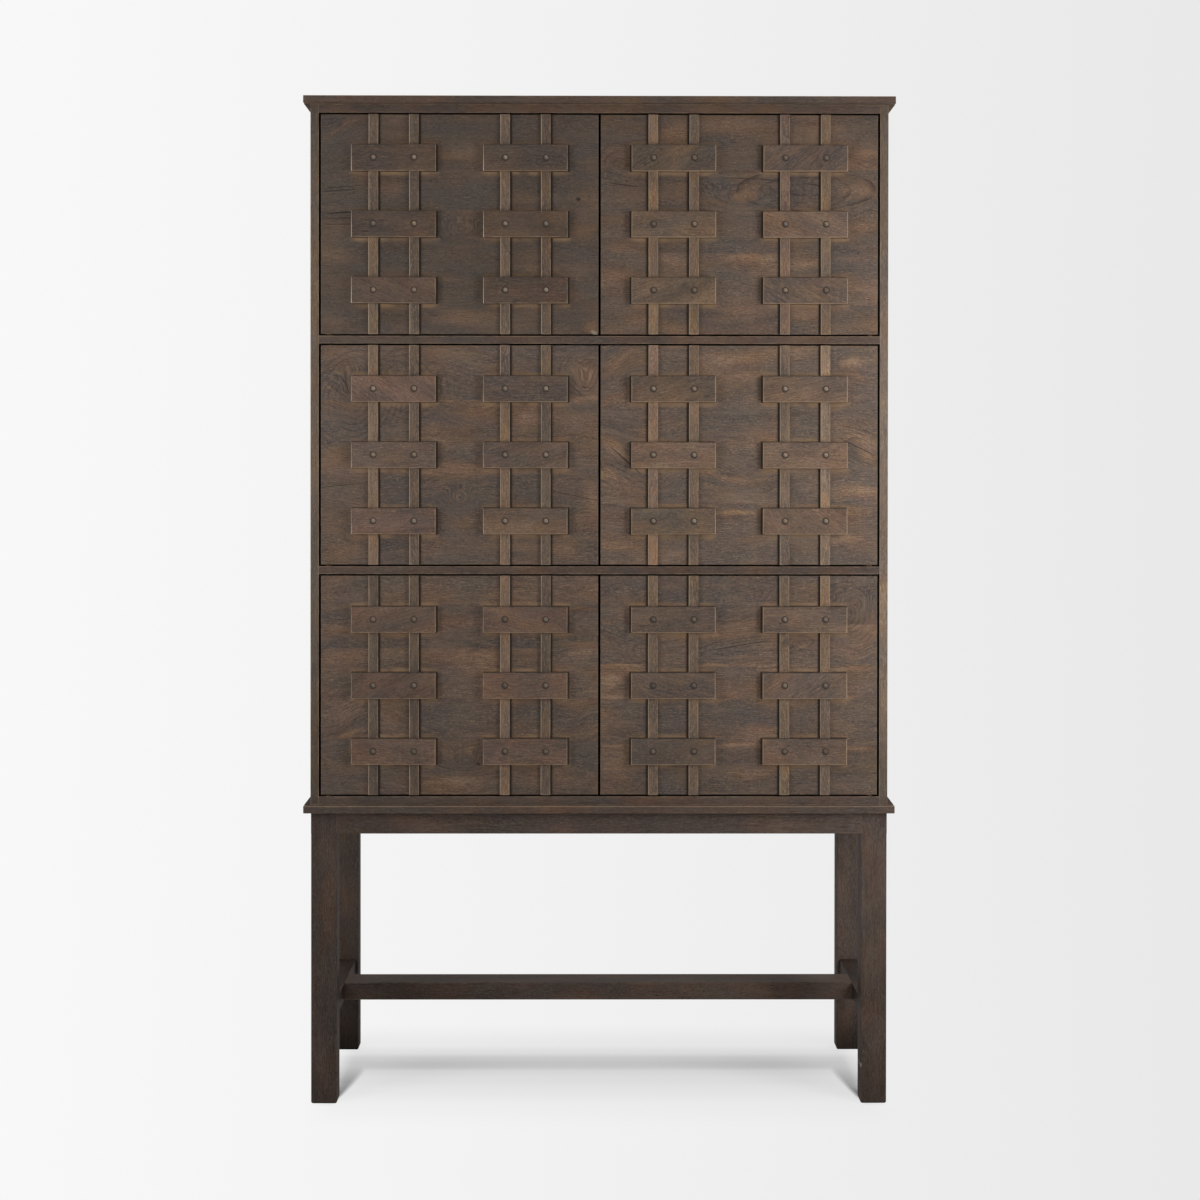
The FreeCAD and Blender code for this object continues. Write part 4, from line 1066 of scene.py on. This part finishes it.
def dress_door(door, number):
    """Panel, straps, cross blocks, pegs and strike of one door."""
    look = DOOR_LOOKS[door]
    inwards = 1 if door.endswith("left") else -1
    middle, half = middle_of(door + "_panel")
    low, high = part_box(door + "_blocks")
    left = (low.x + BLOCK_SIZE[0] / 2 * MM) / MM
    right = (high.x - BLOCK_SIZE[0] / 2 * MM) / MM
    ladders = (left - middle[0], right - middle[0])
    foot = low.z / MM
    floor = foot - middle[2]
    drawn = {part: look.get(part, ()) for part in ("knots", "slants", "boards", "stains", "veins", "marks")}
    # The panel is painted lighter to the right, and a painted shadow lies beside its blocks and straps
    panel_wood = stained_wood(
        f"Stained hardwood door {door}", look["tones"], ALONG_X, half, middle, seed=number * 3.7, ring=7.5,
        ring_strength=0.3, wear=0.12, tone=look["tone"], light_lean=0.05, wiped=wiped_round_blocks(ladders, floor),
        finish=wiped_gold_and_painted_shade(ladders, floor, 1.6 * inwards, half, look["gold"]), **drawn,
    )
    paint(door + "_panel", panel_wood)
    paint(door + "_strike", STEEL)

    # The blocks' outer ends face the near lamp and get a painted highlight
    block_wood = stained_wood(
        f"Stained hardwood blocks {door}", BLOCK_TONES, ALONG_X, BLOCK_HALF, seed=number * 5.3,
        carried="own_place", wear=0.45, lit_end=-inwards, end_wear_and_highlight=look["end_wear_and_highlight"],
        own=(block_number(middle[0], foot), look["blocks"]), finish=block_finish(look, middle),
    )
    low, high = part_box(door + "_straps")
    strap_size = (STRAP_WIDTH * MM, high.y - low.y, high.z - low.z)
    strap_half = tuple(s / 2 / MM for s in strap_size)
    strap_wood = stained_wood(
        f"Stained hardwood straps {door}", STRAP_TONES, ALONG_Z, strap_half, seed=number * 2.9,
        carried="own_place", ring=3.0, wear=0.5, own=(strap_number((left, middle[0], right)), look["straps"]),
        finish=strap_finish(look, middle, strap_half),
    )
    peg_wood = stained_wood(
        f"Stained hardwood pegs {door}", PEG_TONES, ALONG_Z, PEG_HALF, seed=number * 1.3,
        carried="own_place", ring=3.0, wear=0.0, tone=look["peg_tone"], finish=peg_shade,
    )
    low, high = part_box(door + "_pegs")
    peg_sizes = {
        "Radius": (high.z - low.z - 2 * BLOCK_ROW_PITCH * MM) / 2,
        "Bare radius": PEG_BARE_RADIUS * MM,
        "Length": high.y - low.y,
        "Crown": PEG_CROWN * MM,
    }
    block_sizes = {"Size": tuple(s * MM for s in BLOCK_SIZE), "Ease": BLOCK_EASE * MM}
    strap_sizes = {"Size": strap_size, "Ease": STRAP_EASE * MM}
    for name, part, slot, seed, wood, sizes in (
        ("cross_blocks", "blocks", "block_wood", number * 11 + 3, block_wood, block_sizes),
        ("upright_straps", "straps", "strap_wood", number * 7 + 1, strap_wood, strap_sizes),
        ("round_pegs", "pegs", "peg_wood", number * 13 + 5, peg_wood, peg_sizes),
    ):
        node = f"{door}_{part}"
        low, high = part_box(node)
        values = {
            "Middle": ((left + right) / 2 * MM, (low.y + high.y) / 2, (low.z + high.z) / 2),
            "Column step": (right - left) * MM,
            "Row step": BLOCK_ROW_PITCH * MM,
            "Apart": (BLOCK_SIZE[0] - 2 * PEG_INSET) * MM,
            "Seed": seed,
            "Material": wood,
        }
        made_piece(f"{door}_{name}", MAKERS[part], {**sizes, **values}, door + "_door", node)


# Case, stand and fittings


def front_line(side, share, stain, half):
    """Finish that draws a thin line along the upper or lower edge of a board's front. side is 1 or -1."""

    def finish(tree, place, x_y_z, colour):
        line = edge_line(tree, x_y_z[2], half[2], side, 2.2, 0.9, share)
        front = add(tree, "ShaderNodeMath", x_y_z[1], 0.3 - half[1], operation="LESS_THAN")
        return tinted(tree, colour, add(tree, "ShaderNodeMath", line, front, operation="MULTIPLY"), stain)

    return finish


def wooden_node(node, axes, seed, tones, line=None, **more):
    """Paints one packed wooden piece with its own stretch of grain."""
    middle, half = middle_of(node)
    if line:
        more["finish"] = front_line(*line, half)
    name = f"Stained hardwood {node}"
    paint(node, stained_wood(name, tones, axes, half, middle, seed=seed, ring=5.0, **more))


def painted_shade_inside(axis, *sides):
    """Painted shade on faces inside the case, seen through the gaps round the doors."""
    return {"inside": (axis, sides, 0.4, PAINTED_SHADE)}


def dress_case():
    """Boards, panels, shelves, mouldings and back of the case."""
    # Painted light and shade: the left panel's lower tone, as the right one faces the stronger lamp, and both
    # panels darker at the bottom and top
    left_side = {"fade": ((-1, 0.56), (-0.5, 0.82), (-0.15, 1.03), (0.3, 1.05), (0.8, 1.0), (1, 0.85))}
    right_side = {"fade": ((-1, 0.62), (-0.5, 1.2), (-0.16, 0.95), (0.15, 1.15), (1, 0.68))}
    # Painted light: some boards and panels are drawn lighter to the right
    for i, (node, axes, tone, wear, more) in enumerate((
        # Painted shade under the top board's front edge, and a painted highlight along the base board's top
        # edge
        ("top_board", ALONG_X, 0.99, 0.2, {"line": (-1, 0.7, PAINTED_SHADE), "light_lean": 0.03}),
        ("base_board", ALONG_X, 0.85, 0.2, {"line": (1, 0.5, BOARD_EDGE_HIGHLIGHT), "light_lean": 0.17}),
        # Painted shade on the inner faces of the panels and shelves, seen through the gaps
        ("top_panel", ALONG_X, 1.05, 0.3, {**painted_shade_inside(2, -1), "light_lean": 0.12}),
        ("bottom_panel", ALONG_X, 0.97, 0.3, {**painted_shade_inside(2, 1), "light_lean": 0.16}),
        ("upper_shelf", ALONG_X, 1.04, 0.35, painted_shade_inside(2, -1, 1)),
        ("lower_shelf", ALONG_X, 0.86, 0.35, painted_shade_inside(2, -1, 1)),
        ("left_side_panel", ALONG_Z, 0.69, 0.35, {**painted_shade_inside(0, 1), **left_side}),
        ("right_side_panel", ALONG_Z, 0.99, 0.35, {**painted_shade_inside(0, -1), **right_side}),
        ("back_panel", ALONG_Z, 1.0, 0.35, painted_shade_inside(1, -1)),
        ("top_mouldings", ALONG_Y, 0.72, 0.35, {}),
        ("base_mouldings", ALONG_Y, 0.66, 0.35, {}),
    )):
        tones = STILE_TONES if "side_panel" in node else CASE_TONES
        wooden_node(node, axes, 21.0 + 4.1 * i, tones, tone=tone, wear=wear, **more)


def dress_stand():
    """Legs, aprons, stretchers and cleats of the stand."""
    # Painted shade on the inner faces that turn away from the lamps
    shade_on_right_face = {"inside": (0, (1,), 0.55, PAINTED_SHADE)}
    shade_on_left_face = {"inside": (0, (-1,), 0.55, PAINTED_SHADE)}
    # Painted light on the long stretcher's top face
    painted_light_on_top = {"inside": (2, (1,), 0.3, PAINTED_TOP_LIGHT)}
    chip = {"marks": (((-22.8, -195.0, 1.3, 4.5, 0), CHIPPED_FOOT),)}
    # Painted shade: the rear legs darker towards the floor, and the right one towards its top too
    rear_left = {"fade": ((-1, 0.25), (-0.67, 0.48), (-0.1, 0.76), (0.1, 0.85), (1, 0.95))}
    rear_right = {"fade": ((-1, 0.25), (-0.67, 0.58), (-0.1, 0.85), (0.1, 0.82), (1, 0.6))}
    # Tones differ partly as painted light: the rear legs, which the lamps reach little, are drawn much
    # lighter, and the right-hand pieces lighter than the left. The front right leg is painted darker towards
    # the floor, and the front apron and long stretcher lighter to the right.
    for i, (node, axes, tone, more) in enumerate((
        ("front_left_leg", ALONG_Z, 1.2, {"fade": ((-1, 0.97), (1, 1.03)), **shade_on_right_face}),
        ("front_right_leg", ALONG_Z, 1.6, {"fade": ((-1, 0.74), (1, 1.18)), **shade_on_left_face, **chip}),
        ("rear_left_leg", ALONG_Z, 2.0, {**rear_left, **shade_on_right_face}),
        ("rear_right_leg", ALONG_Z, 2.95, {**rear_right, **shade_on_left_face}),
        ("front_apron", ALONG_X, 1.62, {"light_lean": 0.15}),
        ("rear_apron", ALONG_X, 0.9, {}),
        ("left_apron", ALONG_Y, 0.9, shade_on_right_face),
        ("right_apron", ALONG_Y, 0.95, shade_on_left_face),
        ("left_stretcher", ALONG_Y, 0.85, shade_on_right_face),
        ("right_stretcher", ALONG_Y, 1.0, shade_on_left_face),
        ("long_stretcher", ALONG_X, 1.48, {**painted_light_on_top, "light_lean": 0.25}),
        ("apron_cleats", ALONG_X, 0.9, {}),
    )):
        wooden_node(node, axes, 71.0 + 3.3 * i, STAND_TONES, tone=tone, wear=0.16, sheen=0.02, **more)


def dress_fittings():
    """Pins, washers, catches and screws."""
    for node in ("board_screws", "back_screws", "catch_screws"):
        paint(node, STEEL)
    paint("pivot_pins", DARK_STEEL)
    paint("pivot_washers", BRASS)
    paint("catch_magnets", MAGNET)
    paint("catch_housings", CATCH)


# Room, light and camera


def seen_rays(tree):
    """1 for rays that show the room to the camera, straight, mirrored or through glass, and 0 for others."""
    ray = add(tree, "ShaderNodeLightPath").outputs
    seen = add(tree, "ShaderNodeMath", ray["Is Camera Ray"], ray["Is Glossy Ray"], operation="MAXIMUM")
    return add(tree, "ShaderNodeMath", seen, ray["Is Transmission Ray"], operation="MAXIMUM")


def backdrop_colour(tree, away):
    """Pale grey, a little brighter on the left than on the right, and even on the camera's side."""
    x, y = add(tree, "ShaderNodeSeparateXYZ", away).outputs[:2]
    ahead = add(tree, "ShaderNodeMapRange", y, 0.5, 0.9)
    side = add(tree, "ShaderNodeMath", x, ahead, operation="MULTIPLY")
    side = add(tree, "ShaderNodeMapRange", side, -0.24, 0.24)
    return tinted(tree, linear("#f8f8f8"), side, "#e9e9e9")


def floor_lift(tree, source):
    """Share of the floor that is drawn as background: all of it but what lies under and by the stand."""
    x, y = add(tree, "ShaderNodeSeparateXYZ", source).outputs[:2]
    nearest, furthest = FLOOR_SHADE[0][0], FLOOR_SHADE[-1][0]
    level = add(tree, "ShaderNodeMapRange", y, nearest, furthest)
    shade = [((place - nearest) / (furthest - nearest), share) for place, share in FLOOR_SHADE]
    kept = read_at(tree, level, shade, "EASE")
    # Beside the feet, inwards, the legs and side stretchers keep the light off in a narrow corner
    side = add(tree, "ShaderNodeMath", x, operation="ABSOLUTE")
    line = add(tree, "ShaderNodeMath", y, 0.13, -0.457, operation="MULTIPLY_ADD")
    out = add(tree, "ShaderNodeMath", side, line, operation="ADD")
    wide = add(tree, "ShaderNodeMapRange", y, -0.2, 0.1, 0.008, 0.03)
    out = add(tree, "ShaderNodeMath", out, wide, operation="DIVIDE")
    corner = add(tree, "ShaderNodeMapRange", out, -1.0, 0.3, interpolation_type="SMOOTHSTEP")
    near = add(tree, "ShaderNodeMapRange", y, -0.24, -0.16)
    behind = add(tree, "ShaderNodeMapRange", y, -0.06, 0.22, 1.0, 0.0)
    corner = add(tree, "ShaderNodeMath", corner, near, operation="MULTIPLY")
    corner = add(tree, "ShaderNodeMath", corner, behind, operation="MULTIPLY")
    kept = add(tree, "ShaderNodeMath", kept, corner, operation="MAXIMUM")
    within = add(tree, "ShaderNodeMapRange", side, 0.53, 0.48)
    kept = add(tree, "ShaderNodeMath", kept, within, operation="MULTIPLY")
    return add(tree, "ShaderNodeMath", 1.0, kept, operation="SUBTRACT")


def pale_floor():
    """Painted floor that takes the shadows near the cabinet and runs into the background further off."""
    mesh = bpy.data.meshes.new("floor")
    reach = 60.0
    below_feet = -0.0002
    corners = [(-reach, -reach), (reach, -reach), (reach, reach), (-reach, reach)]
    mesh.from_pydata([(x, y, below_feet) for x, y in corners], [], [(0, 1, 2, 3)])
    floor = placed("floor", mesh)
    material = bpy.data.materials.new("Painted studio floor")
    tree = emptied(material)
    source = add(tree, "ShaderNodeTexCoord").outputs["Object"]
    share = add(tree, "ShaderNodeMath", floor_lift(tree, source), seen_rays(tree), operation="MULTIPLY")
    matt = add(tree, "ShaderNodeBsdfDiffuse", linear("#d2d2d2"))
    # The grey runs over the floor as it does over the room behind, seen from the photograph's place
    away = add(tree, "ShaderNodeVectorMath", source, CAMERA_PLACE, operation="SUBTRACT")
    away = add(tree, "ShaderNodeVectorMath", away, operation="NORMALIZE")
    glow = add(tree, "ShaderNodeEmission", backdrop_colour(tree, away), 1.0)
    add(tree, "ShaderNodeOutputMaterial", add(tree, "ShaderNodeMixShader", share, matt, glow))
    mesh.materials.append(material)


def room_light():
    """Even pale surroundings, drawn as the background where the camera sees them."""
    world = bpy.data.worlds.new("Studio")
    bpy.context.scene.world = world
    tree = emptied(world)
    source = add(tree, "ShaderNodeTexCoord").outputs["Generated"]
    y = add(tree, "ShaderNodeSeparateXYZ", source).outputs[1]
    level = add(
        tree, "ShaderNodeMapRange", y, -0.15, 0.6, FILL_IN_FRONT, FILL_BEHIND, interpolation_type="SMOOTHSTEP"
    )
    fill = add(tree, "ShaderNodeBackground", linear("#fbfbff"), level)
    shown = add(tree, "ShaderNodeBackground", backdrop_colour(tree, source), 1.0)
    add(tree, "ShaderNodeOutputWorld", add(tree, "ShaderNodeMixShader", seen_rays(tree), fill, shown))


def soft_box(name, place, aim, width, height, power):
    """A soft box that faces the cabinet."""
    data = bpy.data.lights.new(name, "AREA")
    data.shape = "RECTANGLE"
    data.size = width
    data.size_y = height
    data.energy = power
    lamp = placed(name, data)
    lamp.location = place
    lamp.rotation_euler = (Vector(aim) - Vector(place)).to_track_quat("-Z", "Y").to_euler()
    lamp.visible_camera = False


def front_camera():
    """The camera at the photograph's place."""
    data = bpy.data.cameras.new("camera")
    data.sensor_fit = "HORIZONTAL"
    data.sensor_width = 36.0
    data.lens = CAMERA_FOCAL_PX * data.sensor_width / IMAGE_PX
    data.shift_y = CAMERA_SHIFT_Y
    data.clip_end = 200.0
    camera = placed("camera", data)
    turn = Matrix.Rotation(math.radians(CAMERA_YAW_DEG), 3, "Z")
    turn = turn @ Matrix.Rotation(math.radians(90 + CAMERA_PITCH_DEG), 3, "X")
    turn = turn @ Matrix.Rotation(math.radians(CAMERA_ROLL_DEG), 3, "Z")
    camera.rotation_euler = turn.to_euler()
    camera.location = CAMERA_PLACE
    bpy.context.scene.camera = camera


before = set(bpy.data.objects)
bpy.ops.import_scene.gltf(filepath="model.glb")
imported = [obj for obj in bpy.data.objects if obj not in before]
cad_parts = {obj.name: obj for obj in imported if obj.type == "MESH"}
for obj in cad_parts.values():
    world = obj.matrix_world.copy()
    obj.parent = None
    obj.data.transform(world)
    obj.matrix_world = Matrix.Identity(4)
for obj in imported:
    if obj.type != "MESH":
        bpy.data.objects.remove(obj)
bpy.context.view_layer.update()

EDGE = edge_group()
WOOD = wood_group()
STEEL = metal("Zinc plated steel", "#b9bcc0", "#8d8c88", 0.32, 0.3)
DARK_STEEL = metal("Blackened steel", "#2c2a29", "#1c1a19", 0.5, 0.3)
BRASS = metal("Darkened brass", "#4a3a24", "#2e241a", 0.5, 0.3)
MAGNET = metal("Nickel plated magnet", "#c4c6c9", "#9a9b9c", 0.22, 0.4)
CATCH = moulded_plastic("Moulded brown ABS", "#3a2c24", "#5b4a40")

eased_block = eased_block_tree()
MAKERS = {
    "blocks": cross_block_tree(eased_block),
    "straps": strap_tree(eased_block),
    "pegs": peg_tree(),
}
for door_number, door_name in enumerate(DOORS):
    dress_door(door_name, door_number + 1)
dress_case()
dress_stand()
dress_fittings()

pale_floor()
room_light()
soft_box("left soft box", (-1.3, -1.15, 1.2), (-0.15, -0.2, 1.1), 0.55, 1.4, 13.5)
soft_box("right soft box", (1.3, -1.15, 1.2), (0.15, -0.2, 1.1), 0.55, 1.4, 20.0)
soft_box("ceiling soft box", (0.0, 0.05, 3.3), (0.0, 0.05, 0.0), 3.0, 2.0, 62.0)
front_camera()

bpy.context.scene.view_settings.view_transform = "Standard"
